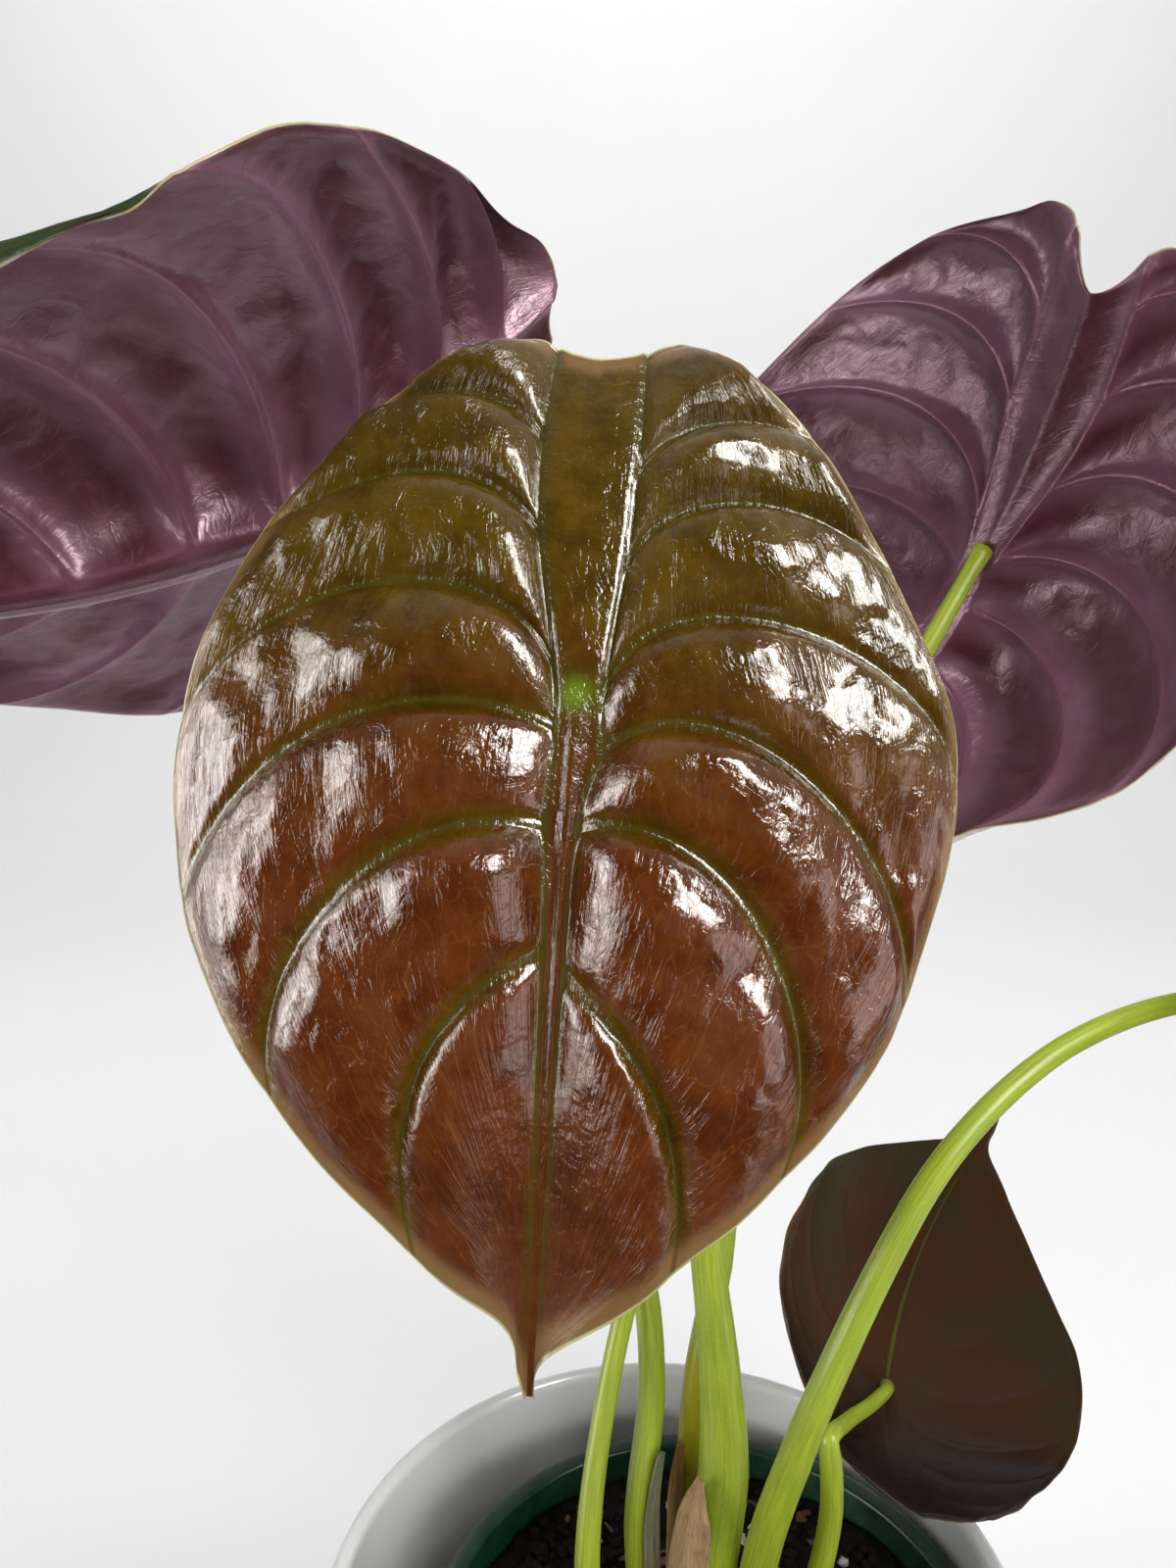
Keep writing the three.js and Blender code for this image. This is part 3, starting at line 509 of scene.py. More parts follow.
def hang_blade(leaf, across, found):
    """Points of the smooth hanging sheet and its upper normals, with the rolled stretch of the margin."""
    flat, place, edge_mm = found["flat"], found["down"], found["edge_mm"]
    point, skin, twin = np.zeros((3, len(across), 3))
    for side in (-1, 1):
        mine = (across < 0) if side < 0 else (across >= 0)
        point[mine], skin[mine] = bend(leaf, side, flat[mine, 0], flat[mine, 1])
        twin += bend(leaf, side, np.zeros(len(across)), flat[:, 1])[1]
        if leaf.get("roll", {}).get("side") == side:
            near = bend(leaf, side, flat[mine, 0] - 0.4, flat[mine, 1])[0]
            inward = near - point[mine]
            inward /= np.linalg.norm(inward, axis=-1)[:, None]
            point[mine], skin[mine] = roll_margin(
                leaf["roll"], place[mine], edge_mm[mine], point[mine], skin[mine], inward)
    # the two halves meet in one normal along the midrib
    crest = bell(across, RIB_BAND * 0.6)[:, None]
    skin = skin * (1 - crest) + twin / np.linalg.norm(twin, axis=-1)[:, None] * crest
    return point, skin / np.linalg.norm(skin, axis=-1)[:, None]


def blade_piece(name, leaf, materials, node, slot, rows, columns):
    """A closed blade: an upper sheet with its relief, a lower one with raised ribs, and an edge between."""
    bm, grid, is_lower = two_sheets(rows, columns)
    across = grid[:, 0]
    found = blade_places((grid[:, 1] + 1) / 2 * 7, across, leaf)
    place, t, band, in_band = found["down"], found["t"], found["band"], found["in_band"]
    flat, out_mm, edge_mm = found["flat"], found["out_mm"], found["edge_mm"]
    unit = leaf["length"] / 100
    point, skin = hang_blade(leaf, across, found)

    # the ribs lie a little deep; ahead of the seat the midrib stands between them, and behind it a panel
    height, distance = blade_relief(leaf, place, t, found["gap"], out_mm, point)
    ahead = smooth(flat[:, 1], -4, 6)
    tip_fade = smooth(6.95 - place, 0, 1.2)
    level = -RIB_SINK * tip_fade * (1 - 0.5 * smooth(place, 5, 6.5)) * leaf["veins"]
    height = height + level * bell(out_mm, 1.6)
    midrib = bell(band, 0.42) + 0.22 * bell(np.abs(band) - 0.86, 0.12)
    panel = 0.8 * (1 - band ** 2) * smooth(place, 0, 0.8) - level * (1 - band ** 4)
    rib_away = (1 - np.abs(band)) * found["rib_out"]
    strand = 0.55 * bell(rib_away - 0.9, 0.7)
    middle = level + (midrib * ahead + (panel + strand) * (1 - ahead)) * tip_fade * leaf["veins"]
    height = np.where(in_band, middle, height) + noise_at(point, 0.5, leaf["seed"] + 20) * 0.06
    rib_mm = np.where(in_band, rib_away * (1 - ahead), out_mm)
    distance = distance + 12 * np.where(in_band, 1 - np.abs(band), 0)

    # the blade thins out at its edge and thickens below its veins and ribs
    thick = sizes().blade_thickness / MM * (1 - 0.7 * smooth(2.5 - edge_mm, 0, 2.5))
    vein_ridge = 0.95 * bell(distance, 1.1 + 1.0 * (1 - t)) * (1 - 0.65 * t) * smooth(edge_mm, 0, 5)
    rib_ridge = 1.6 * bell(rib_mm, 1.8) * (0.35 + 0.65 * smooth(6 - place, 0, 5)) * smooth(edge_mm, 0, 6)
    thick += np.maximum(vein_ridge, rib_ridge) * tip_fade * leaf["veins"]
    local = point + skin * np.where(is_lower, height - thick, height)[:, None]
    world = (local @ leaf_axes(leaf) + np.array(leaf["at"], float)) * MM
    for vert, co in zip(bm.verts, world):
        vert.co = co
    rim = bmesh.ops.bridge_loops(bm, edges=[e for e in bm.edges if e.is_boundary])["faces"]
    for face in rim:
        face.material_index = 2
    bmesh.ops.recalc_face_normals(bm, faces=bm.faces[:])
    mesh = finished_mesh(name, bm)

    # what the materials read: distances in mm, and shares from 0 to 1
    if leaf["quilt"] > 0.3:
        marked = np.where(in_band, 1 - 0.8 * ahead * (1 - bell(np.abs(band) - 1, 0.22)), 1)
    else:
        marked = np.where(in_band, bell(band, 0.45), 0)
    rolled = leaf.get("roll", {"side": 0, "start": 0})
    on_roll = smooth(place, rolled["start"] - 0.5, rolled["start"]) * (across * rolled["side"] > 0)
    set_attribute(mesh, "vein_gap", distance)
    set_attribute(mesh, "rib", bell(rib_mm, 1.1) * smooth(6.99 - place, 0, 0.5) * marked)
    set_attribute(mesh, "lengthwise", (flat[:, 1] + 37) / 104.5)
    set_attribute(mesh, "edge_gap", edge_mm)
    set_attribute(mesh, "seat", bell(np.hypot(flat[:, 0], flat[:, 1]) * unit, 2.6))
    set_attribute(mesh, "greening", on_roll * smooth(14 - edge_mm, 0, 6))
    sideways = np.sign(across) * t * 0.62 * unit + band * 0.06
    set_uv(mesh, "vein_net", np.stack([place * 0.24, sideways], -1))
    return new_piece(name, mesh, materials, slot, node)


# Shader nodes

MIX_SOCKETS = (0, 6, 7)     # the colour mix node's factor, first colour and second colour


class Nodes:
    """Short ways to add nodes to one shader tree."""

    def __init__(self, tree):
        self.tree = tree

    def link(self, source, target):
        self.tree.links.new(source, target)

    def fill(self, socket, value):
        """Links an output to the socket, or sets the socket's own number or colour."""
        if isinstance(value, bpy.types.NodeSocket):
            self.link(value, socket)
        elif isinstance(value, (int, float)):
            socket.default_value = value
        else:
            socket.default_value = (*value, 1.0)

    def add(self, kind, **values):
        """Adds a node; capitalised names are its sockets, with _ for a space, the others its settings."""
        node = self.tree.nodes.new(kind)
        for name, value in values.items():
            if name[0].isupper():
                self.fill(node.inputs[name.replace("_", " ")], value)
            else:
                setattr(node, name, value)
        return node

    def math(self, operation, *values, clamp=False):
        node = self.add("ShaderNodeMath", operation=operation, use_clamp=clamp)
        for socket, value in zip(node.inputs, values):
            self.fill(socket, value)
        return node.outputs[0]

    def mix(self, factor, first, second, blend="MIX"):
        node = self.add("ShaderNodeMix", data_type="RGBA", blend_type=blend)
        for index, value in zip(MIX_SOCKETS, (factor, first, second)):
            self.fill(node.inputs[index], value)
        return node.outputs[2]

    def ease(self, value, low, high, to_low=0.0, to_high=1.0):
        """A number that eases from to_low to to_high while value runs from low to high."""
        node = self.add("ShaderNodeMapRange", interpolation_type="SMOOTHSTEP")
        for socket, number in zip(node.inputs, (value, low, high, to_low, to_high)):
            self.fill(socket, number)
        return node.outputs[0]

    def noise(self, vector, scale, detail=3.0, rough=0.55, distortion=0.0):
        return self.add("ShaderNodeTexNoise", Vector=vector, Scale=scale, Detail=detail, Roughness=rough,
                        Distortion=distortion).outputs[0]

    def attribute(self, name):
        return self.add("ShaderNodeAttribute", attribute_name=name).outputs["Fac"]

    def uv(self, name):
        return self.add("ShaderNodeUVMap", uv_map=name).outputs["UV"]

    def place(self):
        return self.add("ShaderNodeTexCoord").outputs["Object"]

    def shared(self, name, maker, **values):
        """The output of a shared group, which is made the first time it is asked for."""
        tree = bpy.data.node_groups.get(name) or maker(name)
        return self.add("ShaderNodeGroup", node_tree=tree, **values).outputs[0]


class Skin(Nodes):
    """A new material, with short ways to dress its shader."""

    def __init__(self, name):
        self.material = bpy.data.materials.new(name)
        self.material.use_nodes = True
        super().__init__(self.material.node_tree)
        self.shader = self.tree.nodes["Principled BSDF"]

    def bump(self, height, distance, strength):
        node = self.add("ShaderNodeBump", Height=height, Distance=distance, Strength=strength)
        self.link(node.outputs["Normal"], self.shader.inputs["Normal"])

    def dress(self, colour, roughness, **constants):
        """Gives the shader its colour, its roughness and its other constant values."""
        self.fill(self.shader.inputs["Base Color"], colour)
        self.fill(self.shader.inputs["Roughness"], roughness)
        for name, value in constants.items():
            self.shader.inputs[name.replace("_", " ")].default_value = value
        return self.material


def new_group(name, vectors, numbers, output):
    """An empty shader group with vector inputs, number inputs with their defaults, and one output."""
    tree = bpy.data.node_groups.new(name, "ShaderNodeTree")
    for socket_name in vectors:
        tree.interface.new_socket(socket_name, in_out="INPUT", socket_type="NodeSocketVector")
    for socket_name, default in numbers.items():
        socket = tree.interface.new_socket(socket_name, in_out="INPUT", socket_type="NodeSocketFloat")
        socket.default_value = default
    tree.interface.new_socket(output, in_out="OUTPUT", socket_type="NodeSocketFloat")
    given = tree.nodes.new("NodeGroupInput").outputs
    result = tree.nodes.new("NodeGroupOutput").inputs[output]
    return Nodes(tree), given, result


def wrinkle_group(name):
    """Fine wrinkles of a leaf's skin as a height: grain all over, and creases from vein to vein."""
    nodes, given, result = new_group(name, ("Vector", "Plane"), {"Scale": 1.0, "Crease": 0.5}, "Height")
    scaled = nodes.add("ShaderNodeVectorMath", operation="SCALE", Vector=given["Vector"], Scale=given["Scale"])
    coarse = nodes.noise(scaled.outputs[0], 260.0, 2.0, 0.5, 0.8)
    fine = nodes.noise(scaled.outputs[0], 900.0, 2.0, 0.5, 0.4)
    stretched = nodes.add("ShaderNodeVectorMath", operation="MULTIPLY", Vector=given["Plane"])
    stretched.inputs[1].default_value = (7.0, 46.0, 1.0)
    streaks = nodes.add("ShaderNodeTexNoise", noise_dimensions="2D", Vector=stretched.outputs[0], Scale=1.0,
                        Detail=3.0, Roughness=0.55, Distortion=0.5)
    folded = nodes.math("ABSOLUTE", nodes.math("SUBTRACT", streaks.outputs[0], 0.5))
    grain = nodes.math("MULTIPLY_ADD", fine, 0.25, coarse)
    nodes.link(nodes.math("SUBTRACT", grain, nodes.math("MULTIPLY", folded, given["Crease"])), result)
    return nodes.tree


def net_group(name):
    """Thin branching lines of the finest veins, which bridge from one side vein to the next."""
    nodes, given, result = new_group(name, ("Vector",), {"Width": 0.05}, "Line")
    bent = nodes.add("ShaderNodeTexNoise", noise_dimensions="2D", Vector=given["Vector"], Scale=9.0,
                     Detail=2.0)
    offset = nodes.add("ShaderNodeVectorMath", operation="SCALE", Vector=bent.outputs["Color"], Scale=0.16)
    warped = nodes.add("ShaderNodeVectorMath", operation="ADD", Vector=given["Vector"])
    nodes.link(offset.outputs[0], warped.inputs[1])
    lines = []
    for scale, share in ((13.0, 1.0), (34.0, 0.5)):
        cells = nodes.add("ShaderNodeTexVoronoi", voronoi_dimensions="2D", feature="DISTANCE_TO_EDGE",
                          Vector=warped.outputs[0], Scale=scale, Randomness=0.9)
        near = nodes.math("DIVIDE", cells.outputs["Distance"], given["Width"])
        lines.append(nodes.math("MULTIPLY", nodes.math("SUBTRACT", 1.0, near, clamp=True), share))
    nodes.link(nodes.math("MAXIMUM", *lines), result)
    return nodes.tree


def vein_group(name):
    """A line along the side veins and ribs, from the distance to the nearest one."""
    nodes, given, result = new_group(name, (), {"Distance": 0.0, "Rib": 0.0, "Width": 1.0}, "Line")
    near = nodes.math("DIVIDE", given["Distance"], given["Width"])
    line = nodes.math("SUBTRACT", 1.0, nodes.math("MULTIPLY", near, near), clamp=True)
    nodes.link(nodes.math("MAXIMUM", line, given["Rib"]), result)
    return nodes.tree


# Leaf materials

PALE_MARGIN_AND_REFLECTION = (0.26, 0.15, 0.055)
ROLLED_GREEN = (0.042, 0.060, 0.024)
VEIN_OLIVE = (0.072, 0.058, 0.005)
SEAT_GREEN = (0.15, 0.24, 0.01)
WINE_BROWN = (0.066, 0.014, 0.014)
# painted sheen: the lilac that the underside's satin reflection of the light gives
PAINTED_SHEEN_LILAC = (0.21, 0.095, 0.14)


def copper_face():
    """The glossy upper face: copper, olive along the veins and at the lobes, with a pale orange net."""
    chosen = colours()
    skin = Skin("copper_face")
    where, plane = skin.place(), skin.uv("vein_net")
    distance, rib, edge, length = map(skin.attribute, ("vein_gap", "rib", "edge_gap", "lengthwise"))
    patches = skin.noise(where, 26.0, 4.0, 0.6)
    mottle = skin.noise(where, 120.0, 5.0, 0.65)
    lobes = skin.ease(skin.math("MULTIPLY_ADD", patches, 0.30, length), 0.70, 0.30)
    near_vein = skin.math("MULTIPLY", skin.ease(distance, 4.5, 0.6), 0.7)
    rim = skin.math("MULTIPLY", skin.ease(edge, 3.0, 1.0), 0.9)
    olive = skin.math("MAXIMUM", skin.math("MAXIMUM", lobes, near_vein), rim)
    blend = skin.ease(skin.math("MULTIPLY_ADD", mottle, 0.5, olive), 0.1, 1.25)
    colour = skin.mix(blend, chosen.copper, chosen.olive)
    colour = skin.mix(1.0, colour, skin.ease(mottle, 0.32, 0.62, 0.66, 1.15), "MULTIPLY")
    # a pale tan band along the margin: partly the blade's own paler margin, partly a painted reflection of
    # warm light
    pale = skin.ease(skin.math("MULTIPLY_ADD", mottle, 3.0, edge), 8.5, 3.5, 0.0, 0.75)
    colour = skin.mix(pale, colour, PALE_MARGIN_AND_REFLECTION)
    net = skin.shared("Vein net", net_group, Vector=plane, Width=0.045)
    net_share = skin.math("MULTIPLY", net, skin.ease(length, 0.25, 0.8, 0.04, 0.30))
    colour = skin.mix(net_share, colour, chosen.net)
    colour = skin.mix(skin.attribute("greening"), colour, ROLLED_GREEN)
    line = skin.shared("Vein line", vein_group, Distance=distance, Rib=rib, Width=0.8)
    colour = skin.mix(skin.math("MULTIPLY", line, 0.75), colour, VEIN_OLIVE)
    colour = skin.mix(skin.attribute("seat"), colour, SEAT_GREEN)
    colour = skin.mix(skin.ease(edge, 0.75, 0.2, 0.0, 0.85), colour, chosen.leaf_edge)
    wrinkles = skin.shared("Leaf wrinkles", wrinkle_group, Vector=where, Plane=plane, Scale=1.0, Crease=0.7)
    skin.bump(skin.math("MULTIPLY_ADD", net, -0.10, wrinkles), 0.0006, 0.6)
    return skin.dress(colour, skin.ease(mottle, 0.3, 0.7, 0.10, 0.20), Specular_IOR_Level=0.6,
                      Coat_Weight=0.5, Coat_Roughness=0.06)


def wine_underside():
    """The satin underside: wine purple, a painted lilac sheen beside the raised ribs, with a faint net."""
    chosen = colours()
    skin = Skin("wine_underside")
    where, plane = skin.place(), skin.uv("vein_net")
    distance, rib, edge = map(skin.attribute, ("vein_gap", "rib", "edge_gap"))
    patches = skin.noise(where, 30.0, 4.0, 0.6)
    mottle = skin.noise(where, 170.0, 5.0, 0.7)
    colour = skin.mix(skin.ease(patches, 0.35, 0.65), chosen.wine, WINE_BROWN)
    colour = skin.mix(1.0, colour, skin.ease(mottle, 0.3, 0.7, 0.75, 1.2), "MULTIPLY")
    net = skin.shared("Vein net", net_group, Vector=plane, Width=0.06)
    colour = skin.mix(skin.math("MULTIPLY", net, 0.14), colour, chosen.wine_rib)
    # painted sheen: a lilac band beside each raised rib stands in for the satin's reflection of the light
    painted_sheen = skin.math("MULTIPLY", skin.ease(distance, 11.0, 1.0), skin.ease(patches, 0.3, 0.7, 0.35, 0.85))
    colour = skin.mix(painted_sheen, colour, PAINTED_SHEEN_LILAC)
    line = skin.shared("Vein line", vein_group, Distance=distance, Rib=rib, Width=1.3)
    colour = skin.mix(skin.math("MULTIPLY", line, 0.55), colour, chosen.wine_rib)
    colour = skin.mix(skin.ease(edge, 0.6, 0.15, 0.0, 0.8), colour, chosen.leaf_edge)
    wrinkles = skin.shared("Leaf wrinkles", wrinkle_group, Vector=where, Plane=plane, Scale=0.8, Crease=0.4)
    skin.bump(skin.math("MULTIPLY_ADD", net, 0.15, wrinkles), 0.0005, 0.45)
    return skin.dress(colour, skin.ease(mottle, 0.3, 0.7, 0.30, 0.42), Specular_IOR_Level=1.0,
                      Specular_Tint=(1.0, 0.76, 0.92, 1.0), Sheen_Weight=0.28, Sheen_Roughness=0.45,
                      Sheen_Tint=(0.85, 0.55, 0.72, 1.0))


def edge_skin():
    """The cream-green cut edge of a leaf."""
    skin = Skin("leaf_edge")
    mottle = skin.noise(skin.place(), 220.0)
    return skin.dress(skin.mix(mottle, colours().leaf_edge, (0.30, 0.22, 0.08)), 0.35)


def young_skin(name, tint):
    """One face of the small leaf: dark olive brown with a purple cast, a green midrib, and painted shade over
    its lower lobes.
    """
    skin = Skin(name)
    where, plane = skin.place(), skin.uv("vein_net")
    distance, rib, edge, length = map(skin.attribute, ("vein_gap", "rib", "edge_gap", "lengthwise"))
    patches = skin.noise(where, 34.0, 4.0, 0.6)
    colour = skin.mix(skin.ease(patches, 0.38, 0.62), colours().young, tint)
    # painted shade: the lobes at the leaf's lower end are painted near-black
    lobes = skin.ease(skin.math("MULTIPLY_ADD", patches, 0.25, length), 0.58, 0.22)
    colour = skin.mix(lobes, colour, (0.010, 0.0030, 0.0025))
    line = skin.shared("Vein line", vein_group, Distance=distance, Width=0.9)
    colour = skin.mix(skin.math("MULTIPLY", line, 0.12), colour, (0.06, 0.03, 0.02))
    green = skin.math("MULTIPLY", skin.ease(rib, 0.5, 1.0, 0.0, 0.8), skin.ease(length, 0.30, 0.36))
    colour = skin.mix(green, colour, (0.10, 0.12, 0.015))
    colour = skin.mix(skin.ease(edge, 0.5, 0.1, 0.0, 0.5), colour, (0.12, 0.08, 0.04))
    wrinkles = skin.shared("Leaf wrinkles", wrinkle_group, Vector=where, Plane=plane, Scale=0.9, Crease=0.5)
    skin.bump(wrinkles, 0.0005, 0.4)
    return skin.dress(colour, skin.ease(patches, 0.3, 0.7, 0.32, 0.44), Specular_IOR_Level=0.18)


class ALOCASIA_OT_blades(bpy.types.Operator):
    """Makes the six leaf blades with their quilting, veins and edges."""

    bl_idname = "alocasia.blades"
    bl_label = "Leaf Blades"

    def execute(self, context):
        size = sizes()
        large = [copper_face(), wine_underside(), edge_skin()]
        young_under = young_skin("young_underside", (0.050, 0.037, 0.014))
        young = [young_skin("young_face", (0.052, 0.036, 0.013)), young_under, young_under]
        for name, leaf in LEAVES.items():
            share = {"young": 0.72, "rear": 0.6, "side": 0.85}.get(name, 1.0)
            materials, slot = (young, "young_blade") if name == "young" else (large, "blade")
            # a row for each whole share of the seven side veins, and as many columns on either side
            rows = 7 * int(size.blade_rows * share / 7)
            columns = 2 * int(size.blade_columns * share / 2)
            blade_piece(f"leaf_{name}", leaf, materials, f"blade_{name}", slot, rows, columns)
        return {"FINISHED"}


# Stems and sheaths

STEM_SIDES = 28
STEM_STEPS = 9                          # points of the curve for each stretch of a stem's route
FOOT_DEPTHS = (-10.5, -6.0, -2.0)       # rings of the foot below the soil, in mm
SEAT_FLARE = (1.02, 1.08, 1.18, 1.3)    # how a stem widens under its blade
STREAK_GREEN = (0.22, 0.36, 0.03)
YELLOW_FOOT = (0.46, 0.40, 0.015)
PALE_SPECK = (0.75, 0.8, 0.5)


def shade(colour, share):
    return tuple(share * part for part in colour)


def stem_skin(name, foot=None):
    """Fleshy green skin with faint streaks and tiny pale specks, and a foot of another colour."""
    base = colours().stem
    skin = Skin(name)
    where = skin.place()
    streaks = skin.noise(skin.uv("along_stem"), 6.0, 5.0, 0.6)
    patches = skin.noise(where, 60.0, 4.0, 0.6)
    specks = skin.add("ShaderNodeTexVoronoi", Vector=where, Scale=900.0).outputs["Distance"]
    colour = skin.mix(skin.ease(streaks, 0.35, 0.65), base, shade(base, 0.72))
    colour = skin.mix(skin.ease(patches, 0.5, 0.75, 0.0, 0.45), colour, STREAK_GREEN)
    colour = skin.mix(skin.ease(specks, 0.16, 0.08, 0.0, 0.25), colour, PALE_SPECK)
    if foot:
        height = skin.add("ShaderNodeSeparateXYZ", Vector=where).outputs["Z"]
        colour = skin.mix(skin.ease(height, 0.178, 0.158), colour, foot)
    skin.bump(streaks, 0.0003, 0.08)
    return skin.dress(colour, 0.36, Specular_IOR_Level=0.4, Subsurface_Weight=0.12,
                      Subsurface_Radius=(0.6, 1.0, 0.2), Subsurface_Scale=0.002)


def stem_groove(angle, share, sheathing):
    """Share of the radius kept round a stem; a sheathing stem is hollowed most at its foot."""
    if sheathing:
        return 1 - 0.10 * np.maximum(0, np.cos(angle + 2.2)) ** 8 * (1 - share)
    return 1 - 0.05 * np.maximum(0, np.cos(angle + 1.2)) ** 6


def stem_mesh(name, centres, radii, sheathing):
    """A closed tube: a grid rolled round the route, welded along its seam and filled at its ends."""
    rows = len(centres)
    bm = bmesh.new()
    bmesh.ops.create_grid(bm, x_segments=STEM_SIDES, y_segments=rows - 1, size=1.0)
    centres = np.asarray(centres, float)
    tangents = np.gradient(centres, axis=0)
    tangents /= np.linalg.norm(tangents, axis=1)[:, None]
    u = np.array([1.0, 0.0, 0.0])
    frames = []
    for tangent in tangents:
        u = u - tangent * (u @ tangent)
        u /= np.linalg.norm(u)
        frames.append((u.copy(), np.cross(tangent, u)))
    grid = np.array([v.co.xy for v in bm.verts])
    row = np.rint((grid[:, 1] + 1) / 2 * (rows - 1)).astype(int)
    angle = (grid[:, 0] + 1) * np.pi
    us, vs = np.array([f[0] for f in frames])[row], np.array([f[1] for f in frames])[row]
    radius = np.asarray(radii, float)[row] * stem_groove(angle, row / (rows - 1), sheathing)
    world = centres[row] + us * (np.cos(angle) * radius)[:, None] + vs * (np.sin(angle) * radius)[:, None]
    for vert, co in zip(bm.verts, world * MM):
        vert.co = co
    length = np.concatenate([[0], np.cumsum(np.linalg.norm(np.diff(centres, axis=0), axis=1))])[row]
    layer = bm.loops.layers.uv.new("along_stem")
    for face in bm.faces:
        for corner in face.loops:
            i = corner.vert.index
            corner[layer].uv = (angle[i] * 1.1, length[i] * 0.012)
    bmesh.ops.remove_doubles(bm, verts=bm.verts[:], dist=1e-7)
    bmesh.ops.holes_fill(bm, edges=[e for e in bm.edges if e.is_boundary], sides=0)
    bmesh.ops.recalc_face_normals(bm, faces=bm.faces[:])
    return finished_mesh(name, bm)


def catmull(points, steps):
    """Points on the smooth curve through the given ones, spaced as the solids' curves are."""
    points = [np.array(p, float) for p in points]
    points = [2 * points[0] - points[1], *points, 2 * points[-1] - points[-2]]
    made = []
    for i in range(1, len(points) - 2):
        p = points[i - 1:i + 3]
        knots = [0.0]
        for a, b in zip(p, p[1:]):
            knots.append(knots[-1] + max(np.linalg.norm(b - a), 1e-6) ** 0.5)
        for k in range(steps):
            t = knots[1] + (knots[2] - knots[1]) * k / steps
            level = p
            for size in (1, 2, 3):
                level = [((knots[j + size] - t) * a + (t - knots[j]) * b) / (knots[j + size] - knots[j])
                         for j, (a, b) in enumerate(zip(level, level[1:]))]
            made.append(level[0])
    made.append(points[-2])
    return made


def stem_seat(leaf):
    """The point just under the blade where the stem ends."""
    zero = np.zeros(1)
    skins = [bend(leaf, side, zero, zero)[1][0] for side in (-1, 1)]
    normal = (skins[0] + skins[1]) / np.linalg.norm(skins[0] + skins[1])
    drop = 0.4 + sizes().blade_thickness / MM
    return np.array(leaf["at"], float) - normal @ leaf_axes(leaf) * drop


class ALOCASIA_OT_stems(bpy.types.Operator):
    """Makes the leaf stems, which swell where they join the blades and stand in the crown."""

    bl_idname = "alocasia.stems"
    bl_label = "Leaf Stems"

    def execute(self, context):
        plain = stem_skin("stem_green")
        yellow = stem_skin("stem_yellow", YELLOW_FOOT)
        for name, given in STEMS.items():
            route = [*given["route"], tuple(stem_seat(LEAVES[name]))]
            centres = catmull(route, STEM_STEPS)
            radii = along(given["thick"], np.arange(len(centres)) / STEM_STEPS) / 2
            radii[-len(SEAT_FLARE):] *= SEAT_FLARE
            centres = [np.array(route[0]) + (0, 0, depth) for depth in FOOT_DEPTHS] + centres
            radii = np.concatenate([[radii[0]] * len(FOOT_DEPTHS), radii])
            mesh = stem_mesh(f"petiole_{name}", centres, radii, sheathing=(name == "front"))
            skin = yellow if name == "right" else plain
            new_piece(f"petiole_{name}", mesh, [skin], "stem", f"stem_{name}")
        return {"FINISHED"}


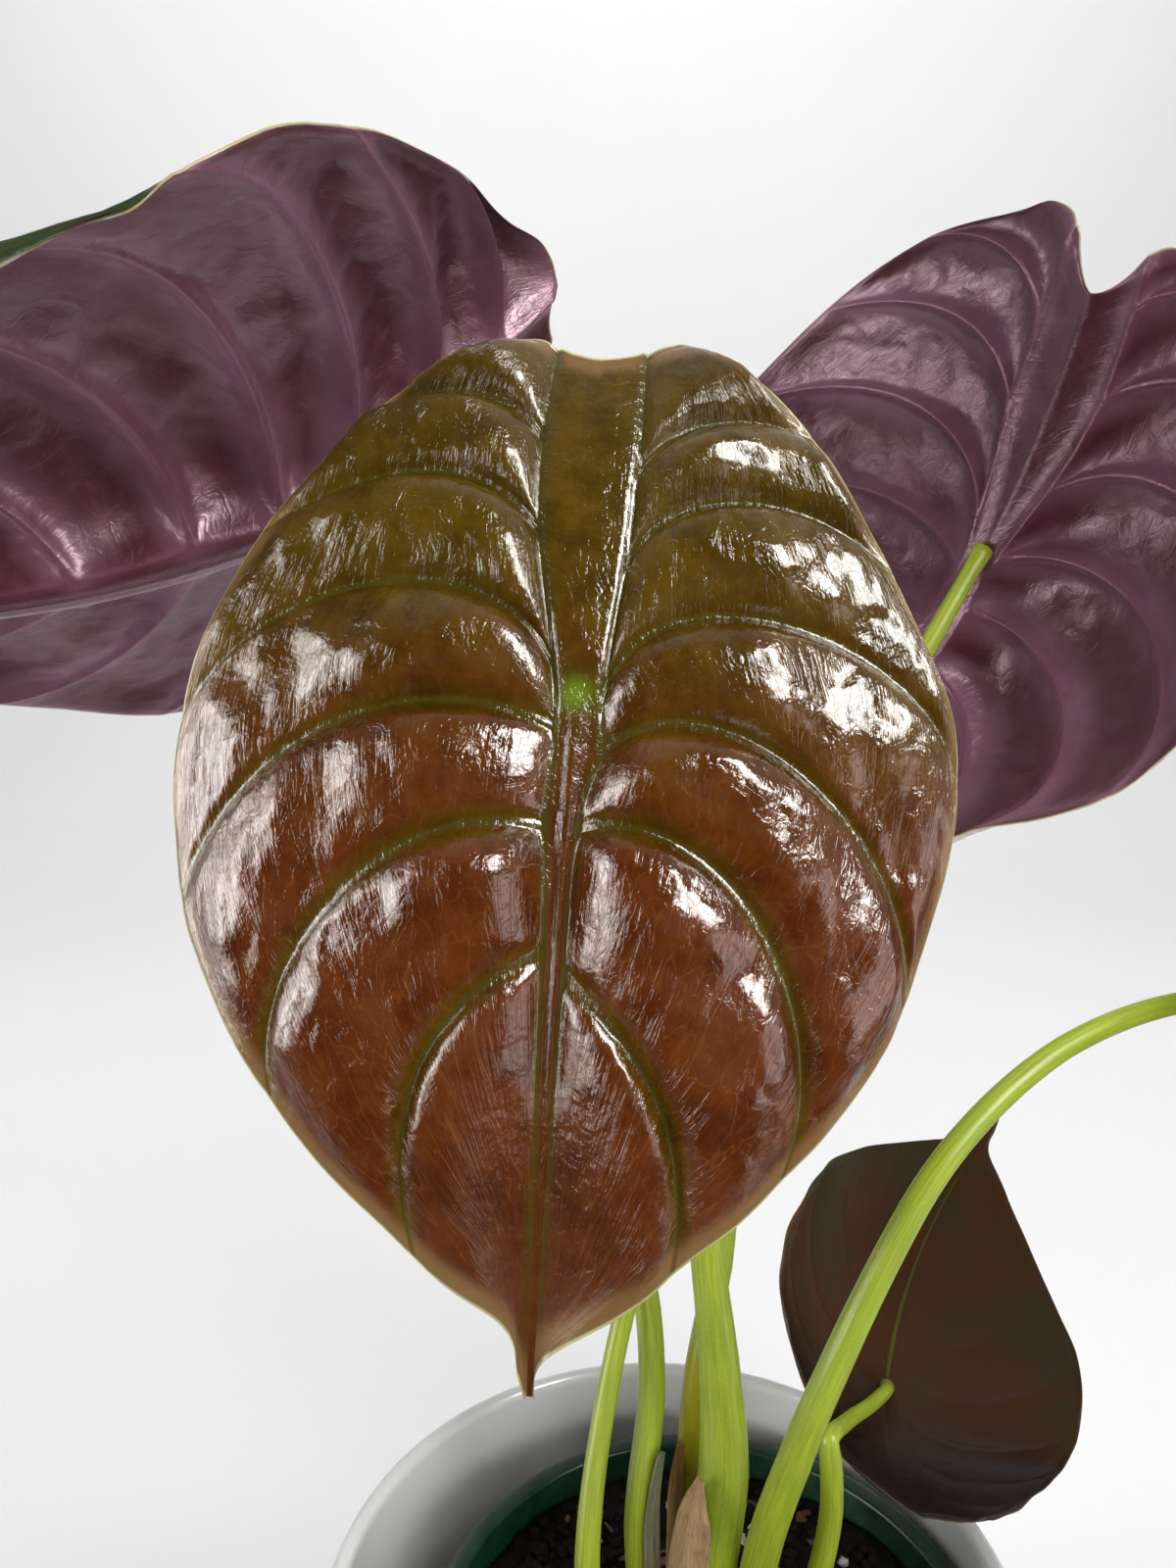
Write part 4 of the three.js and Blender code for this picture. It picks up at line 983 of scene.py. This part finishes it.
class ALOCASIA_OT_sheaths(bpy.types.Operator):
    """Makes the dried sheaths and the stubby crown at the stems' feet."""

    bl_idname = "alocasia.sheaths"
    bl_label = "Dried Sheaths and Crown"

    def execute(self, context):
        looks = {"front": colours().sheath, "left": (0.20, 0.20, 0.11), "rear": (0.36, 0.17, 0.03)}
        for name, given in SHEATHS.items():
            new_piece(f"dry_sheath_{name}", self.strip(name, given), [self.papery_skin(name, looks[name])],
                      "sheath", f"sheath_{name}")
        skin = grained_skin("corm_skin", 300.0, (0.035, 0.022, 0.012), (0.09, 0.06, 0.025), 0.85, 0.001, 0.8,
                            distortion=1.0, spread=(0.35, 0.65))
        new_piece("corm", self.corm(), [skin], "crown", "crown")
        return {"FINISHED"}

    def papery_skin(self, name, base):
        skin = Skin(f"sheath_{name}_skin")
        fibres = skin.noise(skin.uv("along_stem"), 14.0, 6.0, 0.7)
        blotch = skin.noise(skin.place(), 240.0, 4.0, 0.6)
        colour = skin.mix(skin.ease(fibres, 0.35, 0.65), base, shade(base, 0.55))
        colour = skin.mix(skin.ease(blotch, 0.5, 0.7, 0.0, 0.5), colour, (0.16, 0.08, 0.035))
        skin.bump(fibres, 0.0004, 0.6)
        return skin.dress(colour, 0.75)

    def strip(self, name, given):
        """A thin ragged strip that wraps part of the way round a stem."""
        bm = bmesh.new()
        bmesh.ops.create_grid(bm, x_segments=14, y_segments=40, size=1.0)
        grid = np.array([v.co.xy for v in bm.verts])
        across, share = grid[:, 0], (grid[:, 1] + 1) / 2
        stretches = len(given["path"]) - 1
        centre = along(given["path"], share * stretches)
        spread = along(given["wide"], share * stretches) / 2 / given["radius"]
        facing = math.radians(given["facing"])
        spots = np.stack([across * 0.4, share * 7, np.zeros_like(share)], -1)
        ragged = noise_at(spots, 1.0, given["facing"]) * 0.16
        angle = facing + spread * (across * (1 + ragged))
        radius = given["radius"] + 0.22 * np.sin(across * 7 + share * 3)
        world = np.stack([centre[:, 0] - given["radius"] * math.cos(facing) + radius * np.cos(angle),
                          centre[:, 1] - given["radius"] * math.sin(facing) + radius * np.sin(angle),
                          centre[:, 2]], -1)
        layer = bm.loops.layers.uv.new("along_stem")
        for face in bm.faces:
            for corner in face.loops:
                x, y = corner.vert.co.xy
                corner[layer].uv = (x * given["radius"] * 0.12, y * 0.35)
        for vert, co in zip(bm.verts, world * MM):
            vert.co = co
        bmesh.ops.recalc_face_normals(bm, faces=bm.faces[:])
        bmesh.ops.solidify(bm, geom=bm.faces[:], thickness=0.0005)
        bmesh.ops.recalc_face_normals(bm, faces=bm.faces[:])
        return finished_mesh(f"dry_sheath_{name}", bm)

    def corm(self):
        """A lumpy flattened ball that shows as a low dome in the soil."""
        bm = bmesh.new()
        bmesh.ops.create_uvsphere(bm, u_segments=48, v_segments=24, radius=1.0)
        for vert in bm.verts:
            x, y, z = vert.co
            lump = 1 + 0.05 * noise.noise(Vector((x, y, z)) * 3.0)
            high = z * CROWN["rise"] if z > 0 else z * CROWN["depth"]
            vert.co = Vector((CROWN["x"] + CROWN["half_length"] * x * lump,
                              CROWN["y"] + CROWN["half_width"] * y * lump,
                              SOIL_HEIGHT + high - 0.4)) * MM
        bmesh.ops.recalc_face_normals(bm, faces=bm.faces[:])
        return finished_mesh("corm", bm)


# Pots and soil

def grained_skin(name, scale, first, second, roughness, depth, strength, detail=6.0, distortion=0.0,
                 spread=(0.3, 0.7)):
    """A dull material of two colours in fine grain, which is also its bump."""
    skin = Skin(name)
    grain = skin.noise(skin.place(), scale, detail, 0.7, distortion)
    skin.bump(grain, depth, strength)
    return skin.dress(skin.mix(skin.ease(grain, *spread), first, second), roughness)


def spun(profile, steps, centre=(0.0, 0.0)):
    """Turns a profile of (radius, height) pairs, in mm, round a standing axis."""
    bm = bmesh.new()
    verts = [bm.verts.new((r * MM, 0, z * MM)) for r, z in profile]
    edges = [bm.edges.new(pair) for pair in zip(verts, verts[1:])]
    bmesh.ops.spin(bm, geom=verts + edges, cent=(0, 0, 0), axis=(0, 0, 1), angle=2 * math.pi, steps=steps,
                   use_merge=True)
    bmesh.ops.remove_doubles(bm, verts=bm.verts[:], dist=1e-6)
    bmesh.ops.translate(bm, verts=bm.verts[:], vec=(centre[0] * MM, centre[1] * MM, 0))
    bmesh.ops.recalc_face_normals(bm, faces=bm.faces[:])
    return bm


def rounded(profile, radius, parts):
    """The profile with each inner corner replaced by a small arc."""
    made = [profile[0]]
    for before, corner, after in zip(profile, profile[1:], profile[2:]):
        before, corner, after = (np.array(p, float) for p in (before, corner, after))
        back, on = np.linalg.norm(before - corner), np.linalg.norm(after - corner)
        reach = min(radius, 0.45 * back, 0.45 * on)
        start = corner + (before - corner) / back * reach
        end = corner + (after - corner) / on * reach
        for k in range(parts + 1):
            t = k / parts
            made.append(tuple((1 - t) ** 2 * start + 2 * t * (1 - t) * corner + t * t * end))
    return made + [profile[-1]]


class ALOCASIA_OT_pots(bpy.types.Operator):
    """Makes the glazed white outer pot and the thin green nursery pot."""

    bl_idname = "alocasia.pots"
    bl_label = "Pots"

    def execute(self, context):
        size = sizes()
        rim, wall = size.pot_rim / MM, size.pot_wall / MM
        inner, lip = rim - wall, wall / 2
        turns = [math.pi * k / 4 for k in range(5)]
        round_lip = [(rim - lip + lip * math.cos(turn), RIM_HEIGHT - lip + lip * math.sin(turn))
                     for turn in turns]
        outer = [(0, 0), (52, 0), (55, 2.5), (rim - 3.6, 90), (rim - 1, 112), *round_lip,
                 (inner, 106), (inner - 3, 88), (51, 8), (48.5, 5), (0, 5)]
        bm = spun(rounded(outer, 2.0, 6), 160)
        new_piece("white_pot", finished_mesh("white_pot", bm), [self.glaze()], "outer_pot", "outer_pot")
        edge = size.nursery_rim / MM
        slope = (edge - 3 - 41) / (119 - 5.3)
        body = [(0, 5.3), (39, 5.3), (41, 7.3), (41 + slope * 106.7, 112), (edge - 0.4, 112), (edge, 118.2),
                (edge - 0.9, 119), (edge - 4.2, 118.4), (39.8, 7.5), (38, 6.5), (0, 6.5)]
        bm = spun(rounded(body, 0.7, 3), 144, NURSERY_CENTRE)
        mesh = finished_mesh("green_pot", bm)
        self.drill(new_piece("green_pot", mesh, [self.plastic()], "nursery_pot", "nursery_pot"))
        return {"FINISHED"}

    def drill(self, pot):
        """Cuts the ring of drain holes through the nursery pot's floor."""
        bm = bmesh.new()
        for k in range(DRAIN_HOLES):
            angle = 2 * math.pi * k / DRAIN_HOLES
            x = NURSERY_CENTRE[0] + DRAIN_CIRCLE * math.cos(angle)
            y = NURSERY_CENTRE[1] + DRAIN_CIRCLE * math.sin(angle)
            place = Matrix.Translation((x * MM, y * MM, 6 * MM))
            bmesh.ops.create_cone(bm, cap_ends=True, segments=24, radius1=DRAIN_RADIUS * MM,
                                  radius2=DRAIN_RADIUS * MM, depth=8 * MM, matrix=place)
        bits = bpy.data.objects.new("drill_bits", finished_mesh("drill_bits", bm, False))
        bpy.context.scene.collection.objects.link(bits)
        cut = pot.modifiers.new("drain_holes", "BOOLEAN")
        cut.operation = "DIFFERENCE"
        cut.solver = "EXACT"
        cut.object = bits
        bpy.context.view_layer.objects.active = pot
        bpy.ops.object.modifier_apply(modifier=cut.name)
        bpy.data.objects.remove(bits)

    def glaze(self):
        skin = Skin("white_glaze")
        where = skin.place()
        cloud = skin.noise(where, 35.0, 4.0)
        base = colours().glaze
        skin.bump(skin.noise(where, 90.0, 3.0), 0.0004, 0.12)
        return skin.dress(skin.mix(skin.ease(cloud, 0.3, 0.7), base, shade(base, 0.94)),
                          skin.ease(cloud, 0.3, 0.7, 0.16, 0.26), Coat_Weight=0.4, Coat_Roughness=0.08)

    def plastic(self):
        skin = Skin("nursery_plastic")
        scuffs = skin.noise(skin.place(), 160.0, 6.0, 0.7)
        base = colours().nursery
        skin.bump(scuffs, 0.0002, 0.25)
        return skin.dress(skin.mix(skin.ease(scuffs, 0.4, 0.7), base, shade(base, 1.6)),
                          skin.ease(scuffs, 0.3, 0.7, 0.28, 0.45))


class ALOCASIA_OT_soil(bpy.types.Operator):
    """Makes the crumbly peat with perlite grains and bark bits on it."""

    bl_idname = "alocasia.soil"
    bl_label = "Soil"

    def execute(self, context):
        rng = np.random.default_rng(7)
        rings = 64
        profile = [(SOIL_RADIUS * (k / rings) ** 0.9, SOIL_HEIGHT) for k in range(rings + 1)]
        profile += [(SOIL_RADIUS - 1, 108), (39.0, 10), (37, 7), (0, 7)]
        bm = spun(profile, 260, NURSERY_CENTRE)
        for vert in bm.verts:
            if vert.co.z > (SOIL_HEIGHT - 0.5) * MM:
                vert.co.z += self.crumb(vert.co.x / MM, vert.co.y / MM) * MM
        new_piece("peat", finished_mesh("peat", bm), [self.peat_skin("peat_skin", 1.0)], "soil", "soil")
        crumb_skin = self.peat_skin("peat_crumb_skin", 1.5)
        perlite_skin = grained_skin("perlite_skin", 1400.0, (0.42, 0.38, 0.32), (0.72, 0.70, 0.66), 0.85,
                                    0.0004, 0.7, detail=5.0)
        bark_skin = grained_skin("bark_skin", 700.0, (0.055, 0.022, 0.009), (0.16, 0.065, 0.022), 0.8,
                                 0.0006, 0.8)
        self.scatter("peat_crumbs", rng, 700, (0.6, 1.9), crumb_skin, 1, flat=0.75)
        self.scatter("perlite", rng, 46, (0.8, 1.9), perlite_skin, 2, flat=0.8)
        self.scatter("bark_bits", rng, 90, (0.7, 1.7), bark_skin, 1, flat=0.4, long=2.4)
        return {"FINISHED"}

    def crumb(self, x, y):
        """Height of the crumbly soil over its level at a point, in mm, lower over the crown."""
        coarse = noise.noise(Vector((x * 0.16, y * 0.16, 3.0))) * 1.6
        middle = noise.noise(Vector((x * 0.5, y * 0.5, 8.0))) * 1.1
        fine = noise.noise(Vector((x * 1.3, y * 1.3, 1.0))) * 0.45
        reach = math.hypot(x - NURSERY_CENTRE[0], y - NURSERY_CENTRE[1])
        at_crown = math.hypot((x - CROWN["x"]) / 27, (y - CROWN["y"]) / 16)
        settle = -1.4 * max(0.0, 1 - at_crown) + 0.6 * min(1, max(0, (reach - 38) / 12))
        return (coarse + middle + fine) * 0.62 + settle - 0.2

    def scatter(self, name, rng, count, size_range, material, detail, flat=1.0, long=1.0):
        """Small irregular grains pressed into the soil, joined in one mesh."""
        bm = bmesh.new()
        for _ in range(count):
            for _ in range(50):
                angle = rng.uniform(0, 2 * math.pi)
                reach = SOIL_RADIUS * 0.965 * math.sqrt(rng.uniform(0, 1))
                x = NURSERY_CENTRE[0] + reach * math.cos(angle)
                y = NURSERY_CENTRE[1] + reach * math.sin(angle)
                if math.hypot((x - CROWN["x"]) / 25, (y - CROWN["y"]) / 14) > 1:
                    break
            radius = rng.uniform(*size_range)
            made = bmesh.ops.create_icosphere(bm, subdivisions=detail, radius=1.0)["verts"]
            turn = Matrix.Rotation(rng.uniform(0, 6.3), 3, "Z")
            turn = turn @ Matrix.Rotation(rng.uniform(-0.5, 0.5), 3, "X")
            offset = Vector((rng.uniform(0, 90), 0, 0))
            place = Vector((x, y, SOIL_HEIGHT + self.crumb(x, y) + radius * flat * 0.35))
            for vert in made:
                rough = 1 + 0.5 * noise.noise(vert.co * 1.6 + offset)
                shape = Vector((vert.co.x * long, vert.co.y, vert.co.z * flat)) * radius * rough
                vert.co = (turn @ shape + place) * MM
        bmesh.ops.recalc_face_normals(bm, faces=bm.faces[:])
        mesh = finished_mesh(name, bm, smooth_faces=(detail > 1))
        return new_piece(name, mesh, [material], "soil")

    def peat_skin(self, name, lift):
        skin = Skin(name)
        where = skin.place()
        grain = skin.noise(where, 420.0, 8.0, 0.75)
        fibre = skin.noise(where, 1500.0, 4.0, 0.7)
        base = shade(colours().peat, lift)
        colour = skin.mix(skin.ease(grain, 0.35, 0.7), shade(base, 0.45), base)
        colour = skin.mix(skin.ease(fibre, 0.62, 0.75, 0.0, 0.55), colour, (0.085, 0.045, 0.022))
        skin.bump(skin.math("ADD", grain, fibre), 0.0012, 0.9)
        return skin.dress(colour, skin.ease(grain, 0.3, 0.7, 0.6, 0.95), Specular_IOR_Level=0.15)


# Studio

PLANT_MIDDLE = (0.0, -0.02, 0.28)

# name, place, target, size and watts of the lamps; whether the glossy skins mirror them
SOFT_LIGHTS = (
    ("window_right", (0.784, -0.658, 1.017), PLANT_MIDDLE, (0.42, 0.62), 7.8, True),
    ("window_left", (-1.117, -0.406, 0.467), PLANT_MIDDLE, (0.3, 0.6), 4.0, True),
    ("front_fill", (0.15, -1.0, 0.36), (0.0, 0.0, 0.13), (0.9, 0.4), 6.0, False),
    ("top_panel", (0.0, 0.3, 1.7), (0.0, 0.1, 0.2), (1.6, 1.2), 5.5, False),
    ("back_wash", (0.0, 0.3, 1.8), (0.0, 1.7, 0.6), (2.2, 0.6), 25.0, False),
)

# name, place, size, watts and colour of the window's panes and the pale walls that the glossy skins mirror
MIRRORED_LIGHTS = (
    ("window_panes", (0.80, -0.62, 0.98), (0.36, 0.66), 14.0, (1.0, 0.96, 0.87)),
    ("left_wall", (-1.15, -0.30, 0.42), (1.0, 1.0), 15.0, (1.0, 0.93, 0.87)),
    ("right_wall", (1.10, -0.50, 0.10), (0.9, 0.6), 4.0, (1.0, 0.90, 0.86)),
)


class ALOCASIA_OT_studio(bpy.types.Operator):
    """Makes the pale floor and backdrop, the soft lights and the camera."""

    bl_idname = "alocasia.studio"
    bl_label = "Studio"

    def execute(self, context):
        scene = context.scene
        camera_data = bpy.data.cameras.new("camera")
        camera_data.lens = 27.0
        camera_data.sensor_width = 36.0
        camera_data.clip_start = 0.01
        camera = bpy.data.objects.new("camera", camera_data)
        camera.location = (-0.0165, -0.2092, 0.3267)
        camera.rotation_euler = (math.radians(90 - 9.4), 0, 0)
        scene.collection.objects.link(camera)
        scene.camera = camera
        self.paper("paper_sweep", 0.55, 4.2, 44)
        # the strip in front is lit like the rest but isn't mirrored in the front leaf
        self.paper("paper_front", 0.0, 0.55, 8).visible_glossy = False
        for name, place, target, size, power, mirrored in SOFT_LIGHTS:
            self.light(name, place, target, size, power).visible_glossy = mirrored
        for name, place, size, power, colour in MIRRORED_LIGHTS:
            self.light(name, place, PLANT_MIDDLE, size, power, colour).visible_diffuse = False
        world = bpy.data.worlds.new("soft_room")
        world.use_nodes = True
        scene.world = world
        nodes = Nodes(world.node_tree)
        background = nodes.tree.nodes["Background"]
        direction = nodes.add("ShaderNodeTexCoord").outputs["Generated"]
        depth = nodes.add("ShaderNodeSeparateXYZ", Vector=direction).outputs["Y"]
        room = nodes.mix(nodes.ease(depth, -0.7, 0.6), (0.03, 0.03, 0.035), (0.82, 0.83, 0.85))
        nodes.link(room, background.inputs["Color"])
        background.inputs["Strength"].default_value = 0.6
        scene.view_settings.view_transform = "Standard"
        scene.view_settings.look = "None"
        return {"FINISHED"}

    def paper(self, name, first, last, rows):
        """Pale paper from first to last metres along its run, which curves up behind the plant."""
        bm = bmesh.new()
        bmesh.ops.create_grid(bm, x_segments=24, y_segments=rows, size=1.0)
        start, flat_run, radius, half_width, thickness = -0.5, 1.5, 0.5, 2.6, 0.0004
        for vert in bm.verts:
            run = first + (last - first) * (vert.co.y + 1) / 2
            turn = min(max((run - flat_run) / radius, 0), math.pi / 2)
            y = min(run, flat_run) + radius * math.sin(turn) + start
            z = radius * (1 - math.cos(turn)) + max(0.0, run - flat_run - radius * math.pi / 2)
            vert.co = Vector((vert.co.x * half_width, y, z - thickness))
        mesh = finished_mesh(name, bm)
        mesh.materials.append(bpy.data.materials.get("pale_paper") or self.paper_skin())
        sheet = bpy.data.objects.new(name, mesh)
        bpy.context.scene.collection.objects.link(sheet)
        return sheet

    def paper_skin(self):
        skin = Skin("pale_paper")
        cloud = skin.noise(skin.place(), 3.0, 3.0)
        return skin.dress(skin.mix(cloud, (0.79, 0.79, 0.79), (0.75, 0.75, 0.75)), 0.8)

    def light(self, name, place, target, size, power, colour=(1.0, 1.0, 1.0)):
        data = bpy.data.lights.new(name, "AREA")
        data.shape = "RECTANGLE"
        data.size, data.size_y = size
        data.energy = power
        data.color = colour
        lamp = bpy.data.objects.new(name, data)
        lamp.location = place
        aim = Vector(target) - Vector(place)
        lamp.rotation_euler = aim.to_track_quat("-Z", "Y").to_euler()
        bpy.context.scene.collection.objects.link(lamp)
        return lamp


class ALOCASIA_PT_panel(bpy.types.Panel):
    """Lists the plant's pieces, sizes and colours in the sidebar."""

    bl_label = "Alocasia"
    bl_idname = "ALOCASIA_PT_panel"
    bl_space_type = "VIEW_3D"
    bl_region_type = "UI"
    bl_category = "Alocasia"

    def draw(self, context):
        for step in STEPS:
            self.layout.operator(step.bl_idname)
        for group_name in ("alocasia_sizes", "alocasia_colours"):
            holder = getattr(context.scene, group_name)
            for name in holder.__annotations__:
                self.layout.prop(holder, name)


STEPS = (ALOCASIA_OT_studio, ALOCASIA_OT_pots, ALOCASIA_OT_soil, ALOCASIA_OT_sheaths, ALOCASIA_OT_stems,
         ALOCASIA_OT_blades)
CLASSES = (PlantSizes, PlantColours, *STEPS, ALOCASIA_PT_panel)


def register():
    for cls in CLASSES:
        bpy.utils.register_class(cls)
    bpy.types.Scene.alocasia_sizes = bpy.props.PointerProperty(type=PlantSizes)
    bpy.types.Scene.alocasia_colours = bpy.props.PointerProperty(type=PlantColours)


def unregister():
    del bpy.types.Scene.alocasia_sizes
    del bpy.types.Scene.alocasia_colours
    for cls in reversed(CLASSES):
        bpy.utils.unregister_class(cls)


def main():
    register()
    for step in STEPS:
        family, name = step.bl_idname.split(".")
        getattr(getattr(bpy.ops, family), name)()


if __name__ == "__main__":
    main()
